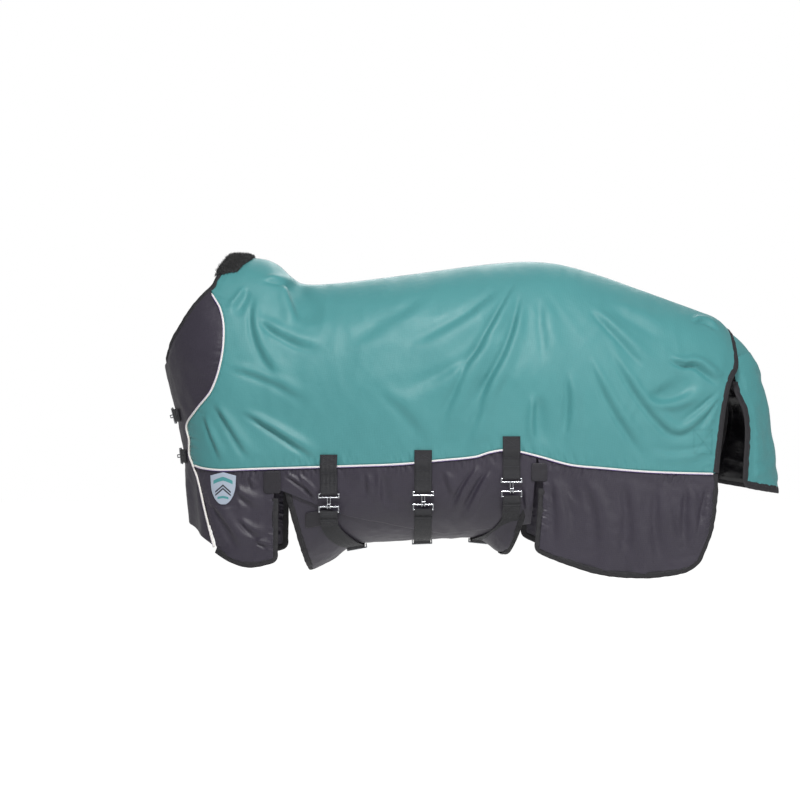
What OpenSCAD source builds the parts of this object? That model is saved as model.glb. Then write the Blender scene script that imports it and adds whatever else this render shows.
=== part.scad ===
// Horse turnout rug, worn shape: a ripstop body rug with black skirts, a belly wrap,
// three hooked surcingles, two chest fastenings and a tail flap.
// Millimetres. +X runs from the head to the tail, -Y is the near (left) side, +Z is up.
// The origin is the saddle point: the underside of the lining on the spine line.

/* [Size] */
// Spine length from the front of the wither to the tail edge
spine_length = 1500; // [1350:10:1650]
// Drop from the saddle point to the lowest hem
rug_drop = 870; // [780:10:960]
// Half of the width over the barrel
barrel_half_width = 300; // [270:5:330]

/* [Cloth] */
// Ripstop outer cloth of the body
shell_t = 2; // [1.5:0.1:2.5]
// Polyester wadding between outer and lining
wadding_t = 6; // [4:0.5:8]
// Lining cloth
lining_t = 1.4; // [1:0.1:2]
// Skirt and shoulder panels, outer and lining as one laminate
skirt_t = 4; // [3:0.5:5]
// Belly wrap cloth
wrap_t = 3; // [2:0.5:4]
// Tail flap cloth
flap_t = 3; // [2:0.5:4]
// Width of the edge binding that shows
binding_w = 14; // [10:1:18]
// How far the binding stands over each face of the cloth
binding_lip = 0.7; // [0.4:0.1:1.5]
// Diameter of the reflective piping
piping_d = 5; // [4:0.5:6]
// Thickness of the fleece pad over the wither
fleece_t = 12; // [8:1:16]

/* [Webbing] */
// Width of the belly straps
strap_w = 50; // [40:1:54]
// Thickness of the webbing
webbing_t = 1.8; // [1.4:0.1:2.4]
// Width of the chest straps
chest_strap_w = 38; // [30:1:44]

/* [Fittings] */
// Wire diameter of hooks, keepers and sliders
wire_d = 4; // [3:0.2:4.6]
// Distance from the hook's webbing bar to the centre of its bend
hook_reach = 34; // [30:1:40]
// Inner radius of the hook's bend
bend_r = 6; // [5.5:0.5:7]
// Height of the keeper between its two bars
keeper_h = 14; // [12:1:18]
// Inner width of the leg-strap ring
ring_w = 36; // [30:1:44]

/* [Hidden] */

TEAL = "#4f9a97";
BLACK = "#2e2b33";
PIPING = "#f3efe6";
STEEL = "#c9ccd1";
FLEECE = "#141416";

// Scales from the nominal stations below to the sizes asked for
sx = spine_length / 1500;
sy = barrel_half_width / 300;
sz = rug_drop / 870;

ply_gap = 0.3;                                        // free gap between two plies or a part and its seat
edge_gap = 0.8;                                       // free gap between a cloth edge and its binding
seam_gap = 3;                                         // gap between two panels under their piping
body_t = shell_t + wadding_t + lining_t + 2 * ply_gap; // whole sandwich of the body

// ---- Body form, nominal millimetres ----
// Height of the outer cloth on the spine line, along the body
top_line = [[-505, 68], [-447, 64], [-400, 58], [-362, 40], [-325, 6], [-290, -14], [-200, -13], [0, 10],
    [200, 37], [300, 48], [390, 52], [480, 43], [600, 10], [750, -44], [900, -98], [950, -120], [994, -165]];
// Half width at the widest level, along the body
width_line = [[-560, 240], [-430, 242], [-250, 262], [-50, 288], [150, 300], [350, 300], [550, 288],
    [700, 268], [850, 236], [920, 212], [994, 168], [1060, 150]];
// Front of the chest on the centre line, by height
chest_line = [[-860, -620], [-720, -632], [-640, -641], [-560, -643], [-480, -652], [-397, -670],
    [-305, -697], [-252, -712], [-100, -745], [80, -770]];
// Underside of the belly wrap on the centre line, along the body
belly_line = [[-360, -850], [-277, -850], [-215, -832], [-150, -804], [-60, -792], [100, -784],
    [230, -780], [300, -792], [390, -792]];
widest_z = -380;                                      // level of the greatest width
belly_z = -560;                                       // level at which the wrap turns under the belly
shoulder_x = -430;                                    // where the shoulders start to close to the chest
roof_p = 2.2;                                         // roundness of the back
chest_p = 2.4;                                        // roundness of the chest
belly_p = 2.4;                                        // roundness of the belly

// ---- Panel lines, nominal millimetres ----
// Seam between body and skirts, height along the body
seam_line = [[-601, -551], [-569, -559], [-519, -563], [-430, -560], [-285, -555], [-142, -550], [0, -544],
    [114, -533], [213, -523], [256, -510], [298, -504], [341, -509], [398, -523], [483, -546], [569, -555],
    [714, -567], [920, -575]];
// Front edge of the body cloth by height: shoulder piping, then the neck edge over the wither
front_line = [[-800, -530], [-676, -563], [-592, -584], [-551, -601], [-522, -613], [-478, -613],
    [-434, -620], [-390, -588], [-333, -541], [-246, -513], [-159, -507], [-99, -519], [-37, -552],
    [19, -534], [50, -515], [68, -505]];
// Neck edge of the shoulder panel by height
neck_line = [[-252, -704], [-228, -696], [-190, -680], [-147, -652], [-95, -617], [-59, -586], [-37, -562]];
// Tail edge of the body by height
tail_line = [[-577, 919], [-506, 927], [-390, 945], [-274, 966], [-199, 990], [-165, 994]];
// Hems, height along the body
front_hem = [[-535, -800], [-493, -825], [-452, -840], [-423, -843], [-350, -826]];
side_hem = [[-361, -618], [-339, -622], [-213, -671], [-137, -696], [48, -736], [140, -750], [216, -738],
    [375, -719], [390, -718]];
rear_hem = [[380, -790], [454, -822], [569, -859], [684, -871], [770, -866], [827, -853], [867, -820],
    [900, -765], [915, -680], [919, -620]];
front_slit_x = -361;                                  // slit behind the front leg
rear_slit_x = 389;                                    // slit in front of the hind leg
slit_top = -632;                                      // height at which the front slit opens
neck_start = -45;                                     // top of the shoulder panel
front_bottom = -700;                                  // hem of the chest on the centre line
roof_share = 0.7;                                     // share of a body rib that lies above the widest level

// ---- General functions ----
function lerp(a, b, t) = a + (b - a) * t;
function unit(v) = v / max(norm(v), 1e-9);
function clamp(v, low, high) = min(max(v, low), high);
function segment_of(t, x, i = 0) = (i >= len(t) - 2 || x < t[i + 1][0]) ? i : segment_of(t, x, i + 1);
function slope_at(t, i) =
    let (a = max(i - 1, 0), b = min(i + 1, len(t) - 1)) (t[b][1] - t[a][1]) / (t[b][0] - t[a][0]);
// Smooth curve through the stations of a table, flat beyond its ends
function curve(t, x) =
    let (i = segment_of(t, x), h = t[i + 1][0] - t[i][0], s = clamp((x - t[i][0]) / h, 0, 1),
        s2 = s * s, s3 = s2 * s)
    (2 * s3 - 3 * s2 + 1) * t[i][1] + (s3 - 2 * s2 + s) * h * slope_at(t, i)
        + (3 * s2 - 2 * s3) * t[i + 1][1] + (s3 - s2) * h * slope_at(t, i + 1);
function scaled(p) = [sx * p[0], sy * p[1], sz * p[2]];
function mirrored(f) = [[f[0][0], -f[0][1], f[0][2]], [f[1][0], -f[1][1], f[1][2]]];

// ---- Body surface ----
function roof(x, z) = max(0, (z - widest_z) / (curve(top_line, x) - widest_z));
function chest(x, z) = max(0, (shoulder_x - x) / (shoulder_x - curve(chest_line, z)));
function belly(x, z) = max(0, (belly_z - z) / (belly_z - curve(belly_line, x)));
// Level function: 1 on the surface, more outside; under is 1 where the cloth turns under the belly
function level(p, under) = pow(abs(p[1]) / curve(width_line, p[0]), 2) + pow(roof(p[0], p[2]), roof_p)
    + pow(chest(p[0], p[2]), chest_p) + under * pow(belly(p[0], p[2]), belly_p);
function half_width(x, z, under) = curve(width_line, x) * sqrt(max(0, 1 - pow(roof(x, z), roof_p)
    - pow(chest(x, z), chest_p) - under * pow(belly(x, z), belly_p)));
function normal_at(p, under) =
    let (e = 0.5, g = [for (k = [0:2]) let (d = [k == 0 ? e : 0, k == 1 ? e : 0, k == 2 ? e : 0])
        level(p + d, under) - level(p - d, under)])
    unit([g[0] / sx, g[1] / sy, g[2] / sz]);
function framed(p, under) = [scaled(p), normal_at(p, under)];
// Point and normal on the near side at a place in side view
function on_side(x, z, under = 0) = framed([x, -half_width(x, z, under), z], under);
// Point and normal on the belly at an angle down from the near side
function on_belly(x, a) =
    let (w = curve(width_line, x), d = belly_z - curve(belly_line, x))
    framed([x, -w * cos(a), belly_z - d * pow(sin(a), 2 / belly_p)], 1);
function off(f, d) = f[0] + f[1] * d;

// ---- Meshes ----
function at(i, j, k, ni, nj) = k * ni * nj + i * nj + j;
function two(q, flip) = flip ? [[q[0], q[2], q[1]], [q[0], q[3], q[2]]] : [[q[0], q[1], q[2]], [q[0], q[2], q[3]]];
// A sheet of cloth between two offsets from a grid of framed points, front to tail and top to bottom
module sheet(g, outer, inner, flip = false) {
    ni = len(g);
    nj = len(g[0]);
    quads = concat(
        [for (i = [0:ni - 2], j = [0:nj - 2])
            [at(i, j, 0, ni, nj), at(i + 1, j, 0, ni, nj), at(i + 1, j + 1, 0, ni, nj), at(i, j + 1, 0, ni, nj)]],
        [for (i = [0:ni - 2], j = [0:nj - 2])
            [at(i + 1, j + 1, 1, ni, nj), at(i + 1, j, 1, ni, nj), at(i, j, 1, ni, nj), at(i, j + 1, 1, ni, nj)]],
        [for (i = [0:ni - 2], k = [0, 1]) let (j = k * (nj - 1), a = k == 0 ? i + 1 : i, b = k == 0 ? i : i + 1)
            [at(a, j, 0, ni, nj), at(b, j, 0, ni, nj), at(b, j, 1, ni, nj), at(a, j, 1, ni, nj)]],
        [for (j = [0:nj - 2], k = [0, 1]) let (i = k * (ni - 1), a = k == 0 ? j : j + 1, b = k == 0 ? j + 1 : j)
            [at(i, a, 0, ni, nj), at(i, b, 0, ni, nj), at(i, b, 1, ni, nj), at(i, a, 1, ni, nj)]]);
    polyhedron(
        points = [for (k = [0, 1], i = [0:ni - 1], j = [0:nj - 1]) off(g[i][j], k == 0 ? outer : inner)],
        faces = [for (q = quads, t = two(q, flip)) t]);
}
function middle(r) = [for (k = [0:2]) [for (p = r) 1] * [for (p = r) p[k]] / len(r)];
// A closed bar through a list of equal rings of points
module skin(rings) {
    n = len(rings[0]);
    m = len(rings);
    turn = cross(rings[0][1] - rings[0][0], rings[0][n - 1] - rings[0][0]) * (middle(rings[1]) - middle(rings[0]));
    sides = [for (i = [0:m - 2], k = [0:n - 1])
        [i * n + k, i * n + (k + 1) % n, (i + 1) * n + (k + 1) % n, (i + 1) * n + k]];
    ends = concat([for (k = [1:n - 2]) [0, k + 1, k]],
        [for (k = [1:n - 2]) [(m - 1) * n, (m - 1) * n + k, (m - 1) * n + k + 1]]);
    polyhedron(
        points = [for (r = rings, p = r) p],
        faces = concat([for (q = sides, t = two(q, turn > 0)) t],
            [for (f = ends) turn > 0 ? [f[0], f[2], f[1]] : f]));
}
// Tangent, normal and sideways direction along a list of framed points
function along(path) = [for (i = [0:len(path) - 1])
    let (t = unit(path[min(i + 1, len(path) - 1)][0] - path[max(i - 1, 0)][0]),
        n = unit(path[i][1] - t * (t * path[i][1])))
    [path[i][0], n, cross(t, n)]];
// A flat band along a path: w0 to w1 sideways, t0 to t1 outwards
module band(path, w0, w1, t0, t1) {
    skin([for (f = along(path)) [f[0] + f[2] * w0 + f[1] * t0, f[0] + f[2] * w1 + f[1] * t0,
        f[0] + f[2] * w1 + f[1] * t1, f[0] + f[2] * w0 + f[1] * t1]]);
}
// A round cord along a path, at a height over the surface
module cord(path, d, height) {
    sides = 8;
    skin([for (f = along(path)) [for (k = [0:sides - 1])
        f[0] + f[1] * (height + d / 2 * cos(360 * k / sides)) + f[2] * d / 2 * sin(360 * k / sides)]]);
}
// Both sides of a mirrored part
module both() {
    children();
    mirror([0, 1, 0]) children();
}
module side_of(right) {
    mirror([0, right ? 1 : 0, 0]) children();
}

// ---- Body of three plies ----
body_ribs = 22;                                       // cells along the body
body_rows = 11;                                       // cells from spine to seam
function rib_z(x, v) =
    let (rise = curve(top_line, x) - widest_z, a = cos(90 * v / roof_share),
        c = pow(chest(x, widest_z + rise * a), chest_p))
    v < roof_share ? widest_z + rise * pow(1 - c, 1 / roof_p) * a
        : lerp(widest_z, curve(seam_line, x) + seam_gap / 2, (v - roof_share) / (1 - roof_share));
function front_edge(v) =
    let (z = rib_z(front_line[len(front_line) - 1][1], v)) curve(front_line, z) + (z > front_line[12][0] ? binding_w : 0);
function tail_edge(v) = curve(tail_line, rib_z(tail_line[len(tail_line) - 1][1], v)) - binding_w;
// Framed point of the body at a share of its length and of the way from spine to seam
function body_at(u, v) =
    let (w = abs(v), x = lerp(front_edge(w), tail_edge(w), u), z = rib_z(x, w),
        f = framed([x, w < 1e-6 ? 0 : -half_width(x, z, 0), z], 0))
    v > 0 ? mirrored(f) : f;
body_grid = [for (i = [0:body_ribs]) [for (j = [-body_rows:body_rows]) body_at(i / body_ribs, -j / body_rows)]];
module outer_shell() {
    color(TEAL) sheet(body_grid, 0, -shell_t);
}
module lining() {
    color(BLACK) sheet(body_grid, -body_t + lining_t, -body_t);
}
// The wadding is quilted to blocks, each a separate solid between the seams
block_ribs = [0, 1, 2, 3, 5, 8, 13, 18, 22];
block_rows = [0, 3, 5, 7, 9, 11, 13, 15, 17, 19, 22];
wadding_room = 0.8;                                   // room between a block and the cloth on each side
quilt_gap = 0.02;                                      // share of a cell left at each quilting seam
function mixed(a, b, t) = [lerp(a[0], b[0], t), unit(lerp(a[1], b[1], t))];
function inset(list, last) = [for (k = [0:last]) k == 0 ? mixed(list[0], list[1], quilt_gap)
    : k == last ? mixed(list[last], list[last - 1], quilt_gap) : list[k]];
function turned(g) = [for (j = [0:len(g[0]) - 1]) [for (i = [0:len(g) - 1]) g[i][j]]];
function block(i0, i1, j0, j1) =
    let (g = [for (i = [i0:i1]) inset([for (j = [j0:j1]) body_grid[i][j]], j1 - j0)],
        h = turned([for (c = turned(g)) inset(c, i1 - i0)])) h;
module body_wadding() {
    color("white") for (a = [0:len(block_ribs) - 2], b = [0:len(block_rows) - 2])
        sheet(turned(block(block_ribs[a], block_ribs[a + 1], block_rows[b], block_rows[b + 1])),
            -shell_t - wadding_room, -body_t + lining_t + wadding_room);
}

// ---- Black panels of the near side; the far side is their mirror image ----
// Shoulder panel: from the neck edge and the centre of the chest back to the piping
function chest_centre(z) = shoulder_x - (shoulder_x - curve(chest_line, z))
    * pow(max(0, 1 - pow(roof(shoulder_x, z), roof_p)), 1 / chest_p);
function chest_angle(x, z) = asin(clamp((shoulder_x - x) / (shoulder_x - chest_centre(z)), 0, 1));
panel_z = concat([neck_start], [for (j = [1:body_rows])
    let (z = rib_z(front_line[len(front_line) - 1][1], j / body_rows)) if (z < neck_start - 8) z]);
facing_rows = 4;                                      // rows of the shoulder panel below the seam
shoulder_cols = 8;
centre_gap = 1.5;                                     // half of the gap at the centre of the chest
function shoulder_at(u, z, drop) =
    let (bottom = lerp(front_bottom, front_hem[0][1] + binding_w, 1 - pow(u, 0.7)), h = lerp(z, bottom, drop),
        xr = curve(front_line, h) - seam_gap,
        xl = h > neck_line[0][0] ? curve(neck_line, h) + binding_w : chest_centre(h) + 0.2,
        a = lerp(chest_angle(xr, h), h > neck_line[0][0] ? chest_angle(max(xl, chest_centre(h)), h) : 90, u),
        x = shoulder_x - (shoulder_x - chest_centre(h)) * sin(a),
        f = on_side(x, h))
    [[f[0][0], min(f[0][1], -centre_gap), f[0][2]], f[1]];
module shoulder_panel(right) {
    last = panel_z[len(panel_z) - 1];
    rows = concat([for (z = panel_z) [z, 0]], [for (k = [1:facing_rows]) [last, k / facing_rows]]);
    color(BLACK) side_of(right)
        sheet([for (i = [0:shoulder_cols]) [for (r = rows) shoulder_at(1 - i / shoulder_cols, r[0], r[1])]],
            0, -skirt_t);
}
// Skirts: between the seam and a hem, with edges that move as they go down
function skirt_at(xs, hem, lift, under, v) = [for (x = xs)
    on_side(x, lerp(curve(seam_line, x) - seam_gap / 2, curve(hem, x) + lift, v), under)];
module skirt(right, x0, x1, hem, lift, under, cols, rows) {
    color(BLACK) side_of(right)
        sheet(turned([for (j = [0:rows]) let (v = j / rows)
            skirt_at([for (i = [0:cols]) lerp(curve(x0, v), curve(x1, v), i / cols)], hem, lift, under, v)]),
            0, -skirt_t);
}
slit_half = 1;                                        // half of the gap between two skirts
// Edges of the skirts, place along the body by share of the drop
front_skirt_front = [[0, -598], [0.5, -563], [1, -530]];
front_skirt_rear = [[0, front_slit_x - slit_half], [0.3, front_slit_x - slit_half], [1, -350 - binding_w]];
side_skirt_front = [[0, front_slit_x + slit_half], [1, front_slit_x + slit_half + 2]];
side_skirt_rear = [[0, rear_slit_x - slit_half], [0.3, 383], [1, 375]];
rear_skirt_front = [[0, rear_slit_x + slit_half], [0.3, 392 + binding_w], [1, 381 + binding_w]];
rear_skirt_rear = [[0, 919 - binding_w], [0.4, 917 - binding_w], [0.8, 902 - binding_w], [1, 867 - binding_w]];
module front_skirt(right) skirt(right, front_skirt_front, front_skirt_rear, front_hem, binding_w, 0, 6, 5);
module side_skirt(right) skirt(right, side_skirt_front, side_skirt_rear, side_hem, 0, 1, 16, 8);
module rear_skirt(right) skirt(right, rear_skirt_front, rear_skirt_rear, rear_hem, binding_w, 0, 10, 6);

// Belly wrap: inside the side skirts, under the belly from side to side
wrap_cols = 14;
wrap_rows = 26;
wrap_start = 8;                                       // angle below the side at which the wrap begins
function wrap_front(a) = lerp(-344, -268, sin(a)) + binding_w;
function wrap_rear(a) = lerp(376, 296, pow(sin(a), 2)) - binding_w;
function wrap_angle(j) = lerp(wrap_start, 180 - wrap_start, j / wrap_rows);
wrap_room = 2.5;                                        // room between the side skirt and the wrap
wrap_out = -skirt_t - wrap_room;                      // outer face of the wrap
module belly_wrap() {
    color(BLACK) sheet([for (i = [0:wrap_cols]) [for (j = [0:wrap_rows])
        let (a = wrap_angle(j)) on_belly(lerp(wrap_front(a), wrap_rear(a), i / wrap_cols), a)]],
        wrap_out, wrap_out - wrap_t);
}
module wrap_binding(rear) {
    color(BLACK) band([for (j = [0:wrap_rows]) let (a = wrap_angle(j)) on_belly(rear ? wrap_rear(a) : wrap_front(a), a)],
        rear ? -ply_gap : ply_gap, rear ? -binding_w : binding_w,
        wrap_out + binding_lip - ply_gap, wrap_out - wrap_t - binding_lip);
}

// ---- Piping ----
piping_steps = 44;
module shoulder_piping(right) {
    low = front_line[0][0] + binding_w;
    high = neck_start - 12;
    steps = 30;
    color(PIPING) side_of(right) cord([for (k = [0:steps]) let (z = lerp(high, low, k / steps))
        on_side(curve(front_line, z) - seam_gap / 2, z)], piping_d, piping_d / 2 + ply_gap);
}
module seam_piping(right) {
    first = seam_line[0][0] + piping_d + 1;
    color(PIPING) side_of(right) cord([for (k = [0:piping_steps])
        let (x = lerp(first, tail_edge(1), k / piping_steps)) on_side(x, curve(seam_line, x))],
        piping_d, piping_d / 2 + ply_gap);
}

// ---- Bindings ----
neck_steps = 9;
// Neck edge from the centre of the chest up to the spine, on the near side
function neck_path() = concat(
    [for (k = [0:neck_steps]) let (z = lerp(neck_line[0][0], neck_start, k / neck_steps),
        f = on_side(max(curve(neck_line, z) + binding_w, chest_centre(z)), z))
        [[f[0][0], min(f[0][1], -centre_gap), f[0][2]], f[1]]],
    [for (j = [3:-1:1]) body_at(0, -j / body_rows)]);
module neck_binding() {
    near = neck_path();
    far = [for (k = [len(near) - 1:-1:0]) mirrored(near[k])];
    color(BLACK) band(concat(near, [body_at(0, 0)], far), -2 * edge_gap, -binding_w, binding_lip, -body_t - binding_lip);
}
module rear_binding() {
    color(BLACK) band([for (j = [-body_rows:body_rows]) body_at(1, -j / body_rows)],
        -ply_gap, -binding_w, binding_lip, -body_t - binding_lip);
}
// Fleece pad folded over the neck edge at the wither
fleece_half = 2.6;                                    // rows of the body that the pad covers each side
fleece_back = 44;                                     // how far the pad reaches back over the cloth
module wither_fleece() {
    rows = 12;
    cols = 4;
    edge = -binding_w - 6;
    color(FLEECE) sheet([for (i = [0:cols]) [for (j = [-rows:rows])
        let (v = -fleece_half * j / rows / body_rows, f = body_at(0, v), g = body_at(0.05, v),
            d = unit(g[0] - f[0]), s = i / cols)
        [f[0] + d * lerp(edge, fleece_back, s) + f[1] * (binding_lip + 3 * ply_gap),
            unit(lerp(f[1], g[1], s))]]],
        fleece_t * 0.6, 0);
}
// Hem binding of the front skirt: down the slit edge and along the hem
module front_hem_binding(right) {
    down = [for (k = [3:9]) let (v = k / 9, x = curve(front_skirt_rear, v))
        on_side(x, lerp(curve(seam_line, x) - seam_gap / 2, curve(front_hem, x) + binding_w, v))];
    run = [for (k = [1:10]) let (x = lerp(curve(front_skirt_rear, 1), curve(front_skirt_front, 1), k / 10))
        on_side(x, curve(front_hem, x) + binding_w)];
    color(BLACK) side_of(right) band(concat(down, run), -edge_gap, -binding_w, binding_lip, -skirt_t - binding_lip);
}
// Hem binding of the rear skirt: down the slit edge, along the hem and up the tail edge
module rear_hem_binding(right) {
    down = [for (k = [3:9]) let (v = k / 9, x = curve(rear_skirt_front, v))
        on_side(x, lerp(curve(seam_line, x) - seam_gap / 2, curve(rear_hem, x) + binding_w, v))];
    run = [for (k = [1:14]) let (x = lerp(curve(rear_skirt_front, 1), curve(rear_skirt_rear, 1), k / 14))
        on_side(x, curve(rear_hem, x) + binding_w)];
    up = [for (k = [9:-1:1]) let (v = k / 10, x = curve(rear_skirt_rear, v))
        on_side(x, lerp(curve(seam_line, x) - seam_gap / 2, curve(rear_hem, x) + binding_w, v))];
    color(BLACK) side_of(right)
        band(concat(down, run, up), 1.5 * edge_gap, binding_w, binding_lip, -skirt_t - binding_lip);
}

// ---- Patches ----
patch_t = 1.5;
module patch(x, z, w, h) {
    n = 4;
    sheet([for (i = [0:n]) [for (j = [0:n])
        on_side(x + w * (i / n - 0.5), z + h * (0.5 - j / n))]], patch_t + 2 * ply_gap, 2 * ply_gap);
}
module front_gusset_patches() color(BLACK) both() patch(front_slit_x - 5, -597, 50, 64);
module rear_gusset_patches() color(BLACK) both() patch(rear_slit_x + 6, -566, 46, 52);
// Shield badge on the near front skirt: a generic plain crest
crest_x = -508;
crest_z = -621;
crest_w = 76;
crest_h = 84;
function crest_half(v) = v < 0.25 ? 1 : pow(max(0, 1 - pow((v - 0.25) / 0.75, 2)), 0.55);
module crest_patch() {
    n = 8;
    color("lightsteelblue") sheet([for (i = [0:n]) [for (j = [0:n])
        let (v = min(j / n, 0.97), u = 2 * i / n - 1, lift = (1 - abs(u)) * (1 - v) * 0.12)
        on_side(crest_x + u * crest_half(v) * crest_w / 2, crest_z + crest_h * (0.5 - v + lift), 0)]],
        patch_t + ply_gap, ply_gap);
}

// ---- Tail flap ----
// Rear profile of the flap on the centre line: place along the body and height, by share of its length
flap_x = [[0, 1046], [0.15, 1072], [0.4, 1096], [0.7, 1116], [1, 1131]];
flap_z = [[0, -214], [0.15, -262], [0.4, -366], [0.7, -506], [1, -640]];
hinge_x = 1044;                                       // seam that the flap swings about
hinge_z = -211;
flap_top_half = 96;                                   // half width of the flap at its hinge seam
flap_low_half = 190;                                  // half width of the flap at its hem
flap_edge_x = [[0, 1044], [0.08, 1010], [0.2, 972], [0.32, 974], [0.45, 1002], [0.65, 1016], [1, 1020]];
flap_edge_z = [[0, -214], [0.08, -246], [0.2, -296], [0.32, -340], [0.45, -398], [0.65, -480], [1, -610]];
flap_p = 2.2;                                         // roundness of the flap across
flap_cols = 12;
flap_rows = 10;
// Framed point of the flap: u from -1 near side to 1 far side, v from hinge to hem
function flap_point(u, v) =
    let (c = pow(abs(u), flap_p), w = lerp(flap_top_half, flap_low_half, pow(v, 0.6)))
    scaled([lerp(curve(flap_x, v), curve(flap_edge_x, v), c), u * w,
        lerp(curve(flap_z, v), curve(flap_edge_z, v), c)]);
function flap_at(u, v) =
    let (e = 0.01, a = flap_point(u, min(v + e, 1)) - flap_point(u, max(v - e, 0)),
        b = flap_point(u + e, v) - flap_point(u - e, v))
    [flap_point(u, v), unit(cross(a, b))];
flap_inset = 0.93;                                    // share of the flap inside its binding
flap_gap = 2.5;                                       // cloth starts this far from the hinge line
module tail_flap() {
    color(TEAL) sheet([for (i = [0:flap_cols]) [for (j = [0:flap_rows])
        flap_at(flap_inset * (2 * i / flap_cols - 1), lerp(0.03, 0.97, j / flap_rows))]], 0, -flap_t);
    // Rolled seam on the hinge line
    translate(scaled([hinge_x, 0, hinge_z])) rotate([90, 0, 0])
        cylinder(d = 2 * flap_t, h = 2 * flap_top_half * flap_inset * sy, center = true, $fn = 32);
    color(TEAL) sheet([for (i = [0:4]) [for (j = [0:1]) let (u = flap_inset * (i / 2 - 1))
        j == 0 ? [scaled([hinge_x, u * flap_top_half, hinge_z]), flap_at(u, 0.03)[1]] : flap_at(u, 0.05)]],
        0.2, -flap_t + 0.2);
}
module tail_flap_binding() {
    n = 12;
    edge = concat([for (k = [1:n]) flap_at(-flap_inset, k / n * 0.97)],
        [for (k = [1:2 * n - 1]) flap_at(flap_inset * (k / n - 1), 0.97)],
        [for (k = [n:-1:1]) flap_at(flap_inset, k / n * 0.97)]);
    color(BLACK) band(edge, 2 * edge_gap, binding_w - 2, binding_lip, -flap_t - binding_lip);
}
// Fixed yoke: carries the flap's hinge seam behind the tail edge of the body
yoke_t = 3;
module tail_yoke() {
    n = 8;
    color(TEAL) sheet([for (i = [0:n]) let (u = 2 * i / n - 1) [for (j = [0:3]) let (s = j / 3,
        b = body_at(1, 0.3 * u), d = unit(b[0] - body_at(0.97, 0.3 * u)[0]),
        top = b[0] + d * (binding_w + edge_gap) - b[1] * (body_t - yoke_t) / 2,
        low = scaled([hinge_x, u * (flap_top_half * flap_inset - 10), hinge_z]) + [-flap_t - ply_gap, 0, flap_t * 0.4])
        [lerp(top, low, s) + [0, 0, 6 * sin(180 * s)], unit([0.5, 0, 1])]]], 0, -yoke_t, true);
}

// ---- Surcingles ----
// Each strap: where its upper part lies, its top, its webbing bar, and where it runs under the belly
strap_x = [-203, 66, 316];
strap_top = [-516, -502, -463];
bar_z = [-630, -622, -584];
under_x = [-130, 66, 236];
loop_r = wire_d / 2 + 2 * ply_gap + webbing_t / 2;        // middle of the webbing round a wire
over = piping_d + 2 * ply_gap;                        // how far a strap lifts to pass over the piping
stand = webbing_t / 2 + 1.5 * ply_gap;                // middle of the webbing over the cloth
function bar_place(k) =
    let (f = on_side(strap_x[k], bar_z[k], 1)) [f[0][0], f[0][1] - loop_r - stand - 3, f[0][2]];
function lift_over(d, reach) = over * pow(max(0, 1 - pow(abs(d) / reach, 2)), 1.5);
// Half turn of webbing about a bar along X: from angle a to b in the plane of the strap
function half_turn(c, a, b, n) = [for (i = [0:n]) let (t = lerp(a, b, i / n), d = [0, -cos(t), sin(t)])
    [c + d * loop_r, d]];
module upper_strap(k) {
    c = bar_place(k);
    n = 9;
    seam = curve(seam_line, strap_x[k]);
    low = bar_z[k] + 22;
    down = [for (i = [0:n]) let (z = lerp(strap_top[k], low, i / n), f = on_side(strap_x[k], z, 1))
        [off(f, stand + (webbing_t + ply_gap) + lift_over(z - seam, 26)), f[1]]];
    back = [for (i = [0:2]) let (z = lerp(low - 4, low + 22, i / 2), f = on_side(strap_x[k], z, 1)) [off(f, stand), -f[1]]];
    color(BLACK) band(concat(down, half_turn(c, 0, -180, 8), back), -strap_w / 2, strap_w / 2,
        webbing_t / 2, -webbing_t / 2);
}
// A rectangle of wire about two bars along X, the upper one on the X axis
module wire_frame(inner_w, h, d) {
    x = inner_w / 2 + d / 2;
    for (z = [0, -h])
        translate([0, 0, z]) rotate([0, 90, 0]) cylinder(d = d, h = 2 * x, center = true, $fn = 32);
    for (s = [-1, 1]) {
        translate([s * x, 0, -h]) cylinder(d = d, h = h, $fn = 32);
        for (z = [0, -h]) translate([s * x, 0, z]) sphere(d = d, $fn = 32);
    }
}
frame_h = 10;                                         // height of the hook's webbing frame
stem_d = wire_d * 0.75;                               // wire of the hook's double stem
stem_half = 4;                                        // half of the gap between the stem wires
bend_mid = bend_r + stem_d / 2;                       // radius to the middle of the bend's wire
// Hook: webbing frame, double stem and a bend that opens upwards on the outer side
module hook(w) {
    color(STEEL) {
        wire_frame(w + 4, frame_h, wire_d);
        for (s = [-1, 1]) translate([s * stem_half, 0, 0]) {
            translate([0, 0, -hook_reach]) cylinder(d = stem_d, h = hook_reach - frame_h, $fn = 32);
            translate([0, -bend_mid, -hook_reach]) rotate([90, 0, 90])
                rotate_extrude(angle = -180, $fn = 48) translate([bend_mid, 0]) circle(d = stem_d, $fn = 32);
            translate([0, -2 * bend_mid, -hook_reach]) cylinder(d = stem_d, h = 6, $fn = 32);
            translate([0, -2 * bend_mid, -hook_reach + 6]) sphere(d = stem_d, $fn = 32);
        }
        translate([0, -2 * bend_mid, -hook_reach + 6]) rotate([0, 90, 0])
            cylinder(d = stem_d, h = 2 * stem_half, center = true, $fn = 32);
    }
}
keeper_drop = hook_reach + bend_r - wire_d / 2 - 2;   // keeper bar's seat below the hook's webbing bar
module keeper(w) color(STEEL) wire_frame(w + 2, keeper_h, wire_d);
function keeper_place(k) = bar_place(k) + [0, -bend_mid, -keeper_drop];
module strap_hook(k) translate(bar_place(k)) hook(strap_w);
module strap_keeper(k) translate(keeper_place(k)) keeper(strap_w);
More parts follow.
